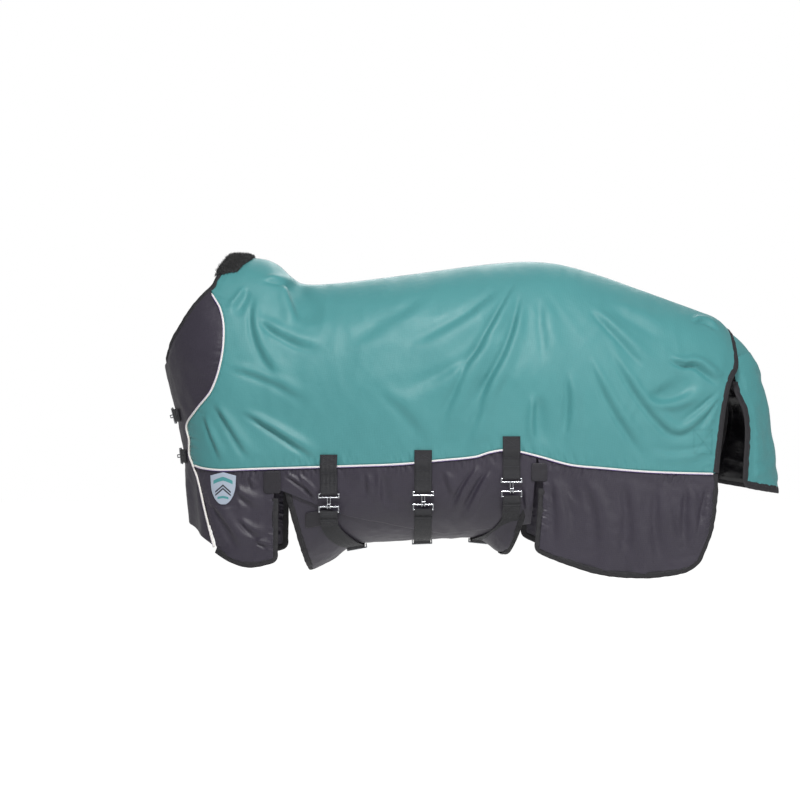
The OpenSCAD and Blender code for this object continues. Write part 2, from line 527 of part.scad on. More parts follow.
// Lower strap: folded round the keeper, over the skirt, under the belly to the far side
slider_l = 26;                                        // length of the slider along the strap
slider_h = 7;                                         // clear height inside the slider
slider_d = 3;                                         // wire of the slider
slider_seat = 2;                                      // the webbing lies against the slider's cross bars
slider_travel = 20;                                   // how far the slider moves each way
strap_ease = [2, 0.5, 3];                             // extra room of each strap under the hollow of the belly
function strap_off(k, a) = let (b = min(a, 180 - a))
    lerp(stand, wrap_out + stand, clamp((b - 60) / 25, 0, 1)) + strap_ease[k] * sin(b);
flat_z = slider_h / 2 + slider_d - stand + 3.5;       // how far the strap hangs off the wrap at its slider
flat_half = slider_l / 2 + slider_d + slider_travel + 3;
function slider_place(k) = off(on_belly(under_x[k], 90), strap_off(k, 90) + flat_z);
function strap_point(k, x, a) =
    let (f = on_belly(x, a), p = off(f, strap_off(k, a)), m = slider_place(k))
    abs(p[1]) < flat_half ? [[p[0], p[1], m[2]], on_belly(under_x[k], 90)[1]] : [p, f[1]];
module belly_strap(k) {
    c = keeper_place(k) - [0, 0, keeper_h];
    n = 46;
    first = 33;
    fold = [for (i = [0:1]) [c + [0, loop_r + 0.4 * (1 - i), -30 + 26 * i], [0, 1, 0.02]]];
    run = [for (i = [0:n]) let (a = lerp(first, 172, i / n))
        strap_point(k, lerp(strap_x[k], under_x[k], pow(sin(min(90, 90 * (a - first) / 55)), 1.2)), a)];
    color(BLACK) band(concat(fold, half_turn(c, 180, 0, 8), [[c + [0, -loop_r, -16], [0, -1, 0]]], run),
        -strap_w / 2, strap_w / 2, webbing_t / 2, -webbing_t / 2);
}
// Slider: a three-bar buckle round the strap under the belly
module strap_slider(k) {
    n = on_belly(under_x[k], 90)[1];
    w = strap_w / 2 + slider_d / 2 + 2.5;
    color(STEEL) translate(slider_place(k)) rotate([0, -atan2(n[0], -n[2]), 0]) translate([0, 0, slider_seat]) {
        for (z = [-1, 1], s = [-1, 1]) translate([s * w, 0, z * (slider_h + slider_d) / 2])
            rotate([90, 0, 0]) cylinder(d = slider_d, h = slider_l, center = true, $fn = 24);
        for (s = [-1, 1], y = [-1, 1]) translate([s * w, y * slider_l / 2, 0]) {
            cylinder(d = slider_d, h = slider_h + slider_d, center = true, $fn = 24);
            for (z = [-1, 1]) translate([0, 0, z * (slider_h + slider_d) / 2]) sphere(d = slider_d, $fn = 24);
        }
        for (y = [-1, 0, 1]) translate([0, y * slider_l / 2, -(slider_h + slider_d) / 2]) rotate([0, 90, 0])
            cylinder(d = slider_d, h = 2 * w, center = true, $fn = 24);
    }
}

// ---- Leg-strap rings inside the tail corners ----
ring_x = 872;
ring_z = -515;                                        // the ring's straight bar
tab_w = 25;
tab_in = body_t + stand + 2.4;                          // middle of the tab's first ply inside the outer face
module at_ring() {
    f = on_side(ring_x, ring_z);
    translate(f[0]) rotate([0, 0, atan2(f[1][0], -f[1][1])]) translate([0, tab_in + loop_r, 0]) children();
}
module leg_strap_ring(right) {
    color(STEEL) side_of(right) at_ring() {
        rotate([0, 90, 0]) cylinder(d = wire_d, h = ring_w + wire_d, center = true, $fn = 32);
        for (s = [-1, 1]) translate([s * (ring_w + wire_d) / 2, 0, 0]) sphere(d = wire_d, $fn = 32);
        rotate([90, 0, 0]) rotate_extrude(angle = -180, $fn = 64)
            translate([(ring_w + wire_d) / 2, 0]) circle(d = wire_d, $fn = 32);
    }
}
module leg_strap_tabs() {
    path = concat([for (i = [0:2]) [[0, -loop_r, 62 - 26 * i], [0, -1, 0]]], half_turn([0, 0, 0], 0, -180, 8),
        [for (i = [0:2]) [[0, lerp(loop_r, webbing_t + ply_gap - loop_r, min(1, i)), 14 + 18 * i], [0, 1, 0]]]);
    color(BLACK) both() at_ring() band(path, -tab_w / 2, tab_w / 2, webbing_t / 2, -webbing_t / 2);
}

// ---- Chest fastenings ----
chest_z = [-406, -528];
hook_y = [-22, -22];                                  // webbing bar of each hook
function chest_x(y, z) =
    let (w = curve(width_line, shoulder_x), c = 1 - pow(roof(shoulder_x, z), roof_p) - pow(y / w, 2))
    shoulder_x - (shoulder_x - curve(chest_line, z)) * pow(max(c, 0), 1 / chest_p);
function on_chest(y, z) = framed([chest_x(y, z), y, z], 0);
chest_stand = stand + webbing_t + 3 * ply_gap;
function chest_bar(k) = off(on_chest(hook_y[k], chest_z[k]), loop_r + stand + 3);
function chest_tilt(k) = let (n = on_chest(0, chest_z[k])[1]) atan2(n[2], -n[0]);
// Turns a fitting drawn hanging down so that it points across the chest to the far side
module across_chest(k) {
    translate(chest_bar(k)) rotate([0, chest_tilt(k), 0]) rotate([0, 90, 0]) rotate([90, 0, 0]) children();
}
module chest_hook(k) across_chest(k) hook(chest_strap_w);
module chest_keeper(k) across_chest(k) translate([0, -bend_mid, -keeper_drop]) keeper(chest_strap_w);
// Half turn of webbing about an upright bar
function chest_turn(k, c, a, b, n) = let (out = on_chest(0, chest_z[k])[1])
    [for (i = [0:n]) let (t = lerp(a, b, i / n), d = out * cos(t) + [0, -sin(t), 0]) [c + d * loop_r, d]];
sewn_from = 112;                                      // where the chest webbing starts, from the centre
// Near webbing: sewn to the near panel, folded back round the hook's frame
module chest_strap(k) {
    c = chest_bar(k);
    out = [for (i = [0:5]) let (f = on_chest(lerp(-sewn_from, hook_y[k] - 24, i / 5), chest_z[k]))
        [off(f, chest_stand), f[1]]];
    back = [for (i = [0:2]) let (f = on_chest(hook_y[k] - 20 - 14 * i, chest_z[k])) [off(f, stand), -f[1]]];
    color(BLACK) band(concat(out, chest_turn(k, c, 0, -180, 8), back), -chest_strap_w / 2, chest_strap_w / 2,
        webbing_t / 2, -webbing_t / 2);
}
// Far webbing: folded round the keeper, sewn to the far panel
module chest_tab(k) {
    n = on_chest(0, chest_z[k])[1];
    c = chest_bar(k) + n * bend_mid + [0, keeper_drop + keeper_h, 0];
    fold = [for (i = [0:1]) [c - n * (loop_r + 0.4 * (1 - i)) + [0, 30 - 26 * i, 0], -n]];
    out = [for (i = [0:5]) let (f = on_chest(lerp(c[1] + 40, sewn_from, i / 5), chest_z[k]))
        [off(f, stand), f[1]]];
    color(BLACK) band(concat(fold, chest_turn(k, c, 180, 0, 8), [[c + n * loop_r + [0, 16, 0], n]], out),
        -chest_strap_w / 2, chest_strap_w / 2, webbing_t / 2, -webbing_t / 2);
}
// Flap behind the chest opening
module chest_under_flap() {
    n = 10;
    color(BLACK) sheet([for (i = [0:8]) [for (j = [0:n])
        on_chest(lerp(-60, 60, i / 8), lerp(-312, -640, j / n))]], -skirt_t - 2.9, -skirt_t - 4.9, true);
}

// ---- Drawing ----
outer_shell();
body_wadding();
lining();
shoulder_panel(false);  // shoulder_panel_left
shoulder_panel(true);  // shoulder_panel_right
front_skirt(false);  // front_skirt_left
front_skirt(true);  // front_skirt_right
side_skirt(false);  // side_skirt_left
side_skirt(true);  // side_skirt_right
rear_skirt(false);  // rear_skirt_left
rear_skirt(true);  // rear_skirt_right
shoulder_piping(false);  // shoulder_piping_left
shoulder_piping(true);  // shoulder_piping_right
seam_piping(false);  // seam_piping_left
seam_piping(true);  // seam_piping_right
front_hem_binding(false);  // front_hem_binding_left
front_hem_binding(true);  // front_hem_binding_right
rear_hem_binding(false);  // rear_hem_binding_left
rear_hem_binding(true);  // rear_hem_binding_right
belly_wrap();
neck_binding();
wither_fleece();
rear_binding();
wrap_binding(false);  // wrap_front_binding
wrap_binding(true);  // wrap_rear_binding
front_gusset_patches();
rear_gusset_patches();
crest_patch();
tail_yoke();
tail_flap();
tail_flap_binding();
upper_strap(0);  // upper_strap_front
upper_strap(1);  // upper_strap_middle
upper_strap(2);  // upper_strap_rear
belly_strap(0);  // belly_strap_front
belly_strap(1);  // belly_strap_middle
belly_strap(2);  // belly_strap_rear
strap_hook(0);  // strap_hook_front
strap_hook(1);  // strap_hook_middle
strap_hook(2);  // strap_hook_rear
strap_keeper(0);  // strap_keeper_front
strap_keeper(1);  // strap_keeper_middle
strap_keeper(2);  // strap_keeper_rear
strap_slider(0);  // strap_slider_front
strap_slider(1);  // strap_slider_middle
strap_slider(2);  // strap_slider_rear
chest_strap(0);  // chest_strap_upper
chest_strap(1);  // chest_strap_lower
chest_tab(0);  // chest_tab_upper
chest_tab(1);  // chest_tab_lower
chest_hook(0);  // chest_hook_upper
chest_hook(1);  // chest_hook_lower
chest_keeper(0);  // chest_keeper_upper
chest_keeper(1);  // chest_keeper_lower
chest_under_flap();
leg_strap_tabs();
leg_strap_ring(false);  // leg_strap_ring_left
leg_strap_ring(true);  // leg_strap_ring_right
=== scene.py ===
import math

import bpy
import numpy as np
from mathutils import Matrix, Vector


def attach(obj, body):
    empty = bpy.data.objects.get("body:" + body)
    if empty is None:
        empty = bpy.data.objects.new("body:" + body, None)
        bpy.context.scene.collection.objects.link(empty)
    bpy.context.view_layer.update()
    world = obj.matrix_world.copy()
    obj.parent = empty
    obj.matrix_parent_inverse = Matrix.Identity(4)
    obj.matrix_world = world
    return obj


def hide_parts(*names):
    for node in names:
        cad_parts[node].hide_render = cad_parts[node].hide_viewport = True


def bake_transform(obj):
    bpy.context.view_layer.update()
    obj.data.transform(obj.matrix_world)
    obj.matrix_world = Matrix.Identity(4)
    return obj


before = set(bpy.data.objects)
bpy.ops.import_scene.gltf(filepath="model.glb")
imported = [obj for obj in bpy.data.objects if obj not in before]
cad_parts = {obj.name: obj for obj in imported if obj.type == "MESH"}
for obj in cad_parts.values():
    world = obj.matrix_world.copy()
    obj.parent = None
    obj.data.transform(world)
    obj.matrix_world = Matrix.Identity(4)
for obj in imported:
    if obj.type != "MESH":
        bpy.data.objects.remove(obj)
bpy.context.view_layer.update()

# ---------------------------------------------------------------------------------------------
# View, light and floor
# A level view of the near side from stable-yard distance, in plain soft light over a pale floor.
# ---------------------------------------------------------------------------------------------
VIEW_DISTANCE = 5.5
VIEW_HEIGHT = -0.3615
VIEW_WIDTH = 2.4
FLOOR_HEIGHT = -1.45
FLOOR_HALF = 14
FLOOR_GLOW = 0.72


def linear(hex_colour):
    """An sRGB hex colour as linear RGBA."""
    parts = [int(hex_colour[i:i + 2], 16) / 255 for i in (1, 3, 5)]
    return (*[c / 12.92 if c <= 0.04045 else ((c + 0.055) / 1.055) ** 2.4 for c in parts], 1.0)


def feed(tree, node, inputs):
    """Gives a node's inputs their values or links."""
    for key, value in inputs.items():
        if isinstance(value, bpy.types.NodeSocket):
            tree.links.new(value, node.inputs[key])
        else:
            node.inputs[key].default_value = value


def add(tree, kind, links=None, **settings):
    """Adds a node with its settings, and its inputs as values or links."""
    made = tree.nodes.new(kind)
    for key, value in settings.items():
        setattr(made, key, value)
    feed(tree, made, links or {})
    return made


def mixed(tree, share, a, b, **settings):
    """Two colours mixed by a share. Each is a hex colour or a node's output."""
    a, b = (linear(c) if isinstance(c, str) else c for c in (a, b))
    return add(tree, "ShaderNodeMix", {0: share, 6: a, 7: b}, data_type="RGBA", **settings).outputs[2]


def calc(tree, operation, *values):
    """What a sum gives on its values. Each is a number or a node's output."""
    return add(tree, "ShaderNodeMath", dict(enumerate(values)), operation=operation).outputs[0]


def new_material(name):
    """A new material, its nodes and its shader."""
    made = bpy.data.materials.new(name)
    made.use_nodes = True
    return made, made.node_tree, made.node_tree.nodes["Principled BSDF"]


camera_data = bpy.data.cameras.new("view")
camera_data.sensor_width = 36
camera_data.lens = 36 * VIEW_DISTANCE / VIEW_WIDTH
camera_data.clip_end = 60
camera = bpy.data.objects.new("view", camera_data)
camera.location = (0, -VIEW_DISTANCE, VIEW_HEIGHT)
camera.rotation_euler = (math.radians(90), 0, 0)
bpy.context.collection.objects.link(camera)
scene = bpy.context.scene
scene.camera = camera
scene.view_settings.view_transform = "Standard"

world = bpy.data.worlds.new("white_surround")
world.use_nodes = True
surround = world.node_tree.nodes["Background"]
surround.inputs["Color"].default_value = (1, 1, 1, 1)
seen = add(world.node_tree, "ShaderNodeLightPath").outputs["Is Camera Ray"]
level_of_light = add(world.node_tree, "ShaderNodeMapRange", {0: seen, 3: 0.30, 4: 1.0})
world.node_tree.links.new(level_of_light.outputs[0], surround.inputs["Strength"])
scene.world = world


def lamp(name, place, target, size, watts):
    """A square soft box at a place, turned to a target."""
    data = bpy.data.lights.new(name, "AREA")
    data.size = size
    data.energy = watts
    made = bpy.data.objects.new(name, data)
    made.location = place
    made.rotation_euler = (Vector(target) - Vector(place)).to_track_quat("-Z", "Y").to_euler()
    bpy.context.collection.objects.link(made)


lamp("key", (0.2, -3.4, 2.7), (0.1, 0, -0.3), 0.8, 160)
lamp("fill", (3.4, -3.2, 0.6), (0.5, 0, -0.4), 1.6, 34)
lamp("back", (0.5, 4.2, 2.4), (0.1, 0, -0.3), 2.6, 110)

floor_mesh = bpy.data.meshes.new("floor")
floor_mesh.from_pydata([(x * FLOOR_HALF, y * FLOOR_HALF, FLOOR_HEIGHT)
                        for x, y in ((-1, -1), (1, -1), (1, 1), (-1, 1))], [], [(0, 1, 2, 3)])
floor = bpy.data.objects.new("floor", floor_mesh)
bpy.context.collection.objects.link(floor)
floor_finish, tree, shader = new_material("matt_white_floor_paint")
seen = add(tree, "ShaderNodeLightPath").outputs["Is Camera Ray"]
glow = calc(tree, "MULTIPLY", seen, FLOOR_GLOW)
feed(tree, shader, {"Base Color": linear("#fbfbfa"), "Roughness": 0.9, "Emission Strength": glow,
                    "Emission Color": (1, 1, 1, 1)})
floor_mesh.materials.append(floor_finish)

# ---------------------------------------------------------------------------------------------
# The form of the worn rug
# The same body lines as the cutting pattern, in millimetres: spine, widest line, chest, belly,
# panel seams and hems. Every cloth piece below is laid on this form.
# ---------------------------------------------------------------------------------------------
TOP_LINE = [(-505, 68), (-447, 64), (-400, 58), (-362, 40), (-325, 6), (-290, -14), (-200, -13), (0, 10),
            (200, 37), (300, 48), (390, 52), (480, 43), (600, 10), (750, -44), (900, -98), (950, -120),
            (994, -165)]
WIDTH_LINE = [(-560, 240), (-430, 242), (-250, 262), (-50, 288), (150, 300), (350, 300), (550, 288),
              (700, 268), (850, 236), (920, 212), (994, 168), (1060, 150)]
CHEST_LINE = [(-860, -620), (-720, -632), (-640, -641), (-560, -643), (-480, -652), (-397, -670),
              (-305, -697), (-252, -712), (-100, -745), (80, -770)]
BELLY_LINE = [(-360, -850), (-277, -850), (-215, -832), (-150, -804), (-60, -792), (100, -784),
              (230, -780), (300, -792), (390, -792)]
SEAM_LINE = [(-601, -551), (-569, -559), (-519, -563), (-430, -560), (-285, -555), (-142, -550), (0, -544),
             (114, -533), (213, -523), (256, -510), (298, -504), (341, -509), (398, -523), (483, -546),
             (569, -555), (714, -567), (920, -575)]
FRONT_LINE = [(-800, -530), (-676, -563), (-592, -584), (-551, -601), (-522, -613), (-478, -613),
              (-434, -620), (-390, -588), (-333, -541), (-246, -513), (-159, -507), (-99, -519), (-37, -552),
              (19, -534), (50, -515), (68, -505)]
NECK_LINE = [(-252, -704), (-228, -696), (-190, -680), (-147, -652), (-95, -617), (-59, -586), (-37, -562)]
TAIL_LINE = [(-577, 919), (-506, 927), (-390, 945), (-274, 966), (-199, 990), (-165, 994)]
FRONT_HEM = [(-535, -800), (-493, -825), (-452, -840), (-423, -843), (-350, -826)]
SIDE_HEM = [(-361, -618), (-339, -622), (-213, -671), (-137, -696), (48, -736), (140, -750), (216, -738),
            (375, -719), (390, -718)]
REAR_HEM = [(380, -790), (454, -822), (569, -859), (684, -871), (770, -866), (827, -853), (867, -820),
            (900, -765), (915, -680), (919, -620)]
WIDEST_Z = -380
BELLY_Z = -560
SHOULDER_X = -430
ROOF_P = 2.2
CHEST_P = 2.4
BELLY_P = 2.4
SHELL_T = 2
SANDWICH_T = 10
SKIRT_T = 4
BINDING_W = 14
NEAR, FAR = -1, 1
MIRROR = [1, -1, 1]
SIDES = (NEAR, "left"), (FAR, "right")
HALVES = (NEAR, "near", 11), (FAR, "far", 47)   # each half of the body, with the seed of its creases


def curve(line, x):
    """Smooth curve through a line's stations, level past its ends."""
    xs, ys = np.array(line, float).T
    slopes = np.empty(len(xs))
    slopes[1:-1] = (ys[2:] - ys[:-2]) / (xs[2:] - xs[:-2])
    slopes[0] = (ys[1] - ys[0]) / (xs[1] - xs[0])
    slopes[-1] = (ys[-1] - ys[-2]) / (xs[-1] - xs[-2])
    x = np.asarray(x, float)
    i = np.clip(np.searchsorted(xs, x, side="right") - 1, 0, len(xs) - 2)
    h = xs[i + 1] - xs[i]
    s = np.clip((x - xs[i]) / h, 0, 1)
    return ((2 * s**3 - 3 * s**2 + 1) * ys[i] + (s**3 - 2 * s**2 + s) * h * slopes[i]
            + (3 * s**2 - 2 * s**3) * ys[i + 1] + (s**3 - s**2) * h * slopes[i + 1])


def lerp(a, b, t):
    return a + (b - a) * t


def smooth(low, high, x):
    """0 below low, 1 above high, and smooth between."""
    t = np.clip((np.asarray(x, float) - low) / (high - low), 0, 1)
    return t * t * (3 - 2 * t)


def unit(v):
    return v / np.maximum(np.linalg.norm(v, axis=-1, keepdims=True), 1e-9)


def roof(x, z):
    return np.maximum(0, (z - WIDEST_Z) / (curve(TOP_LINE, x) - WIDEST_Z))


def chest(x, z):
    return np.maximum(0, (SHOULDER_X - x) / (SHOULDER_X - curve(CHEST_LINE, z)))


def belly(x, z):
    return np.maximum(0, (BELLY_Z - z) / (BELLY_Z - curve(BELLY_LINE, x)))


def level(p, under):
    """1 on the form and more outside it. under is 1 where the cloth turns under the belly."""
    x, y, z = p[..., 0], p[..., 1], p[..., 2]
    return ((np.abs(y) / curve(WIDTH_LINE, x)) ** 2 + roof(x, z) ** ROOF_P + chest(x, z) ** CHEST_P
            + under * belly(x, z) ** BELLY_P)


def outward(p, under=0):
    """Outward normals of the form at points."""
    step = 2.0
    parts = []
    for k in range(3):
        d = np.zeros(3)
        d[k] = step
        parts.append(level(p + d, under) - level(p - d, under))
    return unit(np.stack(parts, -1))


def half_width(x, z, under=0):
    rest = 1 - roof(x, z) ** ROOF_P - chest(x, z) ** CHEST_P - under * belly(x, z) ** BELLY_P
    return curve(WIDTH_LINE, x) * np.sqrt(np.maximum(0, rest))


def on_side(x, z, under=0):
    """Points and normals on the near side."""
    x, z = np.broadcast_arrays(np.asarray(x, float), np.asarray(z, float))
    p = np.stack([x, -half_width(x, z, under), z], -1)
    return p, outward(p, under)


def on_belly(x, a):
    """Points and normals round the belly, at an angle in degrees down from the near side."""
    x, a = np.broadcast_arrays(np.asarray(x, float), np.radians(np.asarray(a, float)))
    drop = BELLY_Z - curve(BELLY_LINE, x)
    p = np.stack([x, -curve(WIDTH_LINE, x) * np.cos(a), BELLY_Z - drop * np.sin(a) ** (2 / BELLY_P)], -1)
    return p, outward(p, 1)


def rib_z(x, v):
    """Height on a rib of the body, at a share of the way from the spine to the seam."""
    share = 0.7
    rise = curve(TOP_LINE, x) - WIDEST_Z
    a = np.cos(np.pi / 2 * np.minimum(v / share, 1))
    closing = chest(x, WIDEST_Z + rise * a) ** CHEST_P
    upper = WIDEST_Z + rise * np.maximum(0, 1 - closing) ** (1 / ROOF_P) * a
    return np.where(v < share, upper, lerp(WIDEST_Z, curve(SEAM_LINE, x) + 1.5, (v - share) / (1 - share)))


def body_at(u, v):
    """Points, normals of the body cloth at shares of its length and of the way down from the spine."""
    front_z = rib_z(FRONT_LINE[-1][0], v)
    for _ in range(14):
        front = curve(FRONT_LINE, front_z) + BINDING_W * smooth(-44, -30, front_z)
        front_z = 0.5 * (front_z + rib_z(front, v))
    rear = curve(TAIL_LINE, rib_z(TAIL_LINE[-1][0], v)) - BINDING_W
    x = lerp(front, rear, u)
    z = rib_z(x, v)
    y = np.where(v < 1e-6, 0, -half_width(x, z))
    p = np.stack([x, y, z], -1)
    return p, outward(p)


def chest_centre(z):
    return SHOULDER_X - (SHOULDER_X - curve(CHEST_LINE, z)) * np.maximum(
        0, 1 - roof(SHOULDER_X, z) ** ROOF_P) ** (1 / CHEST_P)


def closed_mesh(name, points, soft, flat, material, uv):
    """A closed mesh from points in millimetres, with its smooth faces first and its flat ones after them.
    They are all turned outwards by the sign of the volume they close."""
    verts = np.asarray(points, float) / 1000
    volume = 0
    for faces in (soft, flat):
        for k in range(1, faces.shape[1] - 1):
            a, b, c = (verts[faces[:, j]] for j in (0, k, k + 1))
            volume += np.einsum("ij,ij->i", a, np.cross(b, c)).sum()
    if volume < 0:
        soft, flat = soft[:, ::-1], flat[:, ::-1]
    mesh = bpy.data.meshes.new(name)
    mesh.from_pydata(verts.tolist(), [], soft.tolist() + flat.tolist())
    layer = mesh.uv_layers.new(name="cloth")
    loops = np.empty(len(mesh.loops), int)
    mesh.loops.foreach_get("vertex_index", loops)
    layer.data.foreach_set("uv", np.asarray(uv, np.float32)[loops].ravel())
    mesh.polygons.foreach_set("use_smooth", np.arange(len(mesh.polygons)) < len(soft))
    mesh.materials.append(material)
    made = bpy.data.objects.new(name, mesh)
    bpy.context.collection.objects.link(made)
    return made


def spread(first, second):
    """A grid of two values, each given as (from, to, count)."""
    return np.meshgrid(np.linspace(*first), np.linspace(*second), indexing="ij")


def cloth_uv(p):
    """Distances along and across the cloth, in metres, as its UV map."""
    along = np.linalg.norm(np.diff(p, axis=0, prepend=p[:1]), axis=-1).cumsum(0)
    down = np.linalg.norm(np.diff(p, axis=1, prepend=p[:, :1]), axis=-1).cumsum(1)
    middle = along[:, along.shape[1] // 2][:, None] + 0 * along
    return np.stack([middle, down], -1) / 1000


def sheet_piece(name, outer, inner, material, side=NEAR):
    """A closed sheet of cloth between an outer and an inner grid of points."""
    nu, nv = outer.shape[:2]
    index = np.arange(nu * nv).reshape(nu, nv)
    q = np.stack([index[:-1, :-1], index[1:, :-1], index[1:, 1:], index[:-1, 1:]], -1).reshape(-1, 4)
    edge = np.concatenate([index[:, 0], index[-1, 1:], index[-2::-1, -1], index[0, -2:0:-1]])
    rim = np.stack([edge, np.roll(edge, -1), np.roll(edge, -1) + nu * nv, edge + nu * nv], -1)[:, ::-1]
    points = np.concatenate([outer.reshape(-1, 3), inner.reshape(-1, 3)])
    if side == FAR:
        points = points * MIRROR
    uv = cloth_uv(outer).reshape(-1, 2)
    return closed_mesh(name, points, np.concatenate([q, q[:, ::-1] + nu * nv]), rim, material,
                       np.concatenate([uv, uv]))


def cloth_piece(name, p, n, d, thick, material, side=NEAR):
    """A closed sheet whose outer face stands d off the points p, along n."""
    return sheet_piece(name, p + n * d[..., None], p + n * (d - thick)[..., None], material, side)


def settle(piece, body, slot, *nodes):
    """A finished piece rides on its body, or for the tail flap has its transform baked, and stands for its CAD nodes.
    Its slot is not used.
    """
    if body == "tail_flap":
        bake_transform(piece)
    else:
        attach(piece, body)
    if nodes:
        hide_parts(*nodes)
    return piece


# ---------------------------------------------------------------------------------------------
# Outer cloth of the body
# Coated polyester ripstop, cut in a near and a far half and joined along the spine. It lies slack
# over the wadding, so it falls into soft folds and puckers where it is sewn to the piping.
# ---------------------------------------------------------------------------------------------
BODY_COLS, BODY_ROWS = 330, 146
RELIEF_MAX = 15


def fold_relief(x, z, folds):
    """Height of given folds: each is a ridge along a line, with a hollow on its lower side."""
    relief = np.zeros_like(x)
    for line, wide, high in folds:
        line = np.array(line, float)
        for _ in range(2):
            a, b = line[:-1], line[1:]
            cut = np.stack([a * 0.75 + b * 0.25, a * 0.25 + b * 0.75], 1).reshape(-1, 2)
            line = np.vstack([line[:1], cut, line[-1:]])
        best = np.full(x.shape, 1e9)
        side = np.zeros_like(x)
        place = np.zeros_like(x)
        lengths = np.linalg.norm(np.diff(line, axis=0), axis=1)
        total, run = lengths.sum(), 0.0
        for (a, b), length in zip(zip(line[:-1], line[1:]), lengths):
            d = (b - a) / length
            t = np.clip((x - a[0]) * d[0] + (z - a[1]) * d[1], 0, length)
            dx, dz = x - a[0] - d[0] * t, z - a[1] - d[1] * t
            dist = np.hypot(dx, dz)
            near = dist < best
            best = np.where(near, dist, best)
            side = np.where(near, np.sign(d[0] * dz - d[1] * dx), side)
            place = np.where(near, (run + t) / total, place)
            run += length
        s = side * best / (0.7 + 0.75 * place)
        taper = smooth(0, 0.3, place) * smooth(0, 0.42, 1 - place)
        profile = np.exp(-((s - 0.8 * wide) / wide) ** 2) - 0.85 * np.exp(-((s + 0.35 * wide) / (0.6 * wide)) ** 2)
        relief += high * taper * profile
    return relief


def crumple(x, z, seed, grain, sharp=1.0, stretch=1.0):
    """Unplanned creases of slack cloth: waves with random directions, folded to soft ridges."""
    dice = np.random.default_rng(seed)
    total = np.zeros_like(x)
    warp_x = np.sin(x / (grain * 1.9) + 2.1 * np.sin(z / (grain * 2.3) + dice.uniform(0, 6)))
    warp_z = np.sin(z / (grain * 2.2) + 1.7 * np.sin(x / (grain * 1.7) + dice.uniform(0, 6)))
    for k in range(7):
        angle = dice.uniform(0, math.pi)
        size = grain * dice.uniform(0.6, 1.8)
        phase = dice.uniform(0, 2 * math.pi)
        wave = np.sin((math.cos(angle) * x * stretch + math.sin(angle) * z) / size * 2 + phase
                      + 1.3 * warp_x * dice.uniform(0.4, 1) + 1.1 * warp_z * dice.uniform(0.4, 1))
        ridge = 1 - np.abs(wave) ** sharp
        total += (ridge - 0.36) * size / grain
    return total / 7 ** 0.5


def puckers(s, d, seed, pitch, reach):
    """Gathers along a sewn edge: s runs along it and d is the distance from it."""
    dice = np.random.default_rng(seed)
    total = np.zeros_like(s)
    for k in range(4):
        size = pitch * (0.7 + 0.35 * k)
        lean = dice.uniform(-0.5, 0.5)
        total += np.sin((s + lean * d) / size * 2 * math.pi + dice.uniform(0, 6)
                        + 1.6 * np.sin(s / (pitch * 4.3) + dice.uniform(0, 6)))
    gate = 0.5 + 0.5 * np.sin(s / (pitch * 3.1) + 2 * np.sin(s / (pitch * 7.7)) + dice.uniform(0, 6))
    return total / 2 * gate * np.exp(-((d - reach * 0.28) / (reach * 0.55)) ** 2)


# Lines of the larger folds, in millimetres seen from the near side, with width and height
BODY_FOLDS = [
    ([(-420, -50), (-432, -133), (-403, -224), (-357, -287), (-317, -327)], 17, 5),
    ([(-343, -6), (-322, -60), (-298, -125), (-285, -165)], 30, -13),
    ([(-420, -125), (-352, -172), (-277, -206), (-206, -212)], 17, 5.5),
    ([(-505, -266), (-415, -292), (-329, -328), (-250, -380)], 15, 4),
    ([(-460, -392), (-357, -453), (-283, -502), (-225, -545)], 14, 6),
    ([(-545, -360), (-492, -441), (-455, -502), (-420, -548)], 13, 5),
    ([(-572, -395), (-543, -476), (-510, -556)], 10, 4),
    ([(-446, -30), (-470, -72), (-500, -112)], 15, -5),
    ([(-405, -12), (-360, -16), (-300, -32)], 12, 4),
    ([(346, -2), (291, -96), (235, -193), (192, -270), (157, -344), (100, -484)], 17, 6),
    ([(352, -40), (331, -141), (291, -249), (229, -345), (190, -440)], 17, 5.5),
    ([(300, -30), (192, -124), (106, -168), (-10, -230)], 26, 4.5),
    ([(305, -150), (203, -247), (106, -303), (-20, -360)], 25, 4),
    ([(296, -230), (246, -327), (225, -413), (165, -530)], 20, 4),
    ([(90, -60), (-30, -140), (-190, -240)], 32, 3),
    ([(-60, -330), (40, -420), (90, -510)], 26, 2.5),
    ([(405, -60), (412, -170), (425, -280)], 24, 3),
    ([(384, -340), (378, -430), (386, -505)], 19, -6),
    ([(472, -270), (486, -384), (462, -515)], 18, 5),
    ([(540, -92), (625, -176), (687, -249), (730, -290)], 17, 5),
    ([(600, -80), (700, -140), (800, -190)], 26, 3.5),
    ([(590, -200), (659, -323), (726, -413), (790, -468), (855, -432), (905, -340)], 16, 5.5),
    ([(534, -235), (591, -362), (669, -481), (726, -555)], 16, 5),
    ([(766, -240), (812, -262), (851, -256), (885, -282), (935, -322)], 12, 10),
    ([(700, -356), (755, -372), (823, -352), (875, -310)], 25, -10),
    ([(936, -330), (895, -362), (851, -401), (775, -455)], 13, 4.5),
    ([(930, -350), (880, -420), (858, -470)], 10, 3),
    ([(850, -136), (895, -126), (940, -160)], 9, 5),
    ([(905, -490), (795, -520), (700, -500)], 16, 2.5),
]


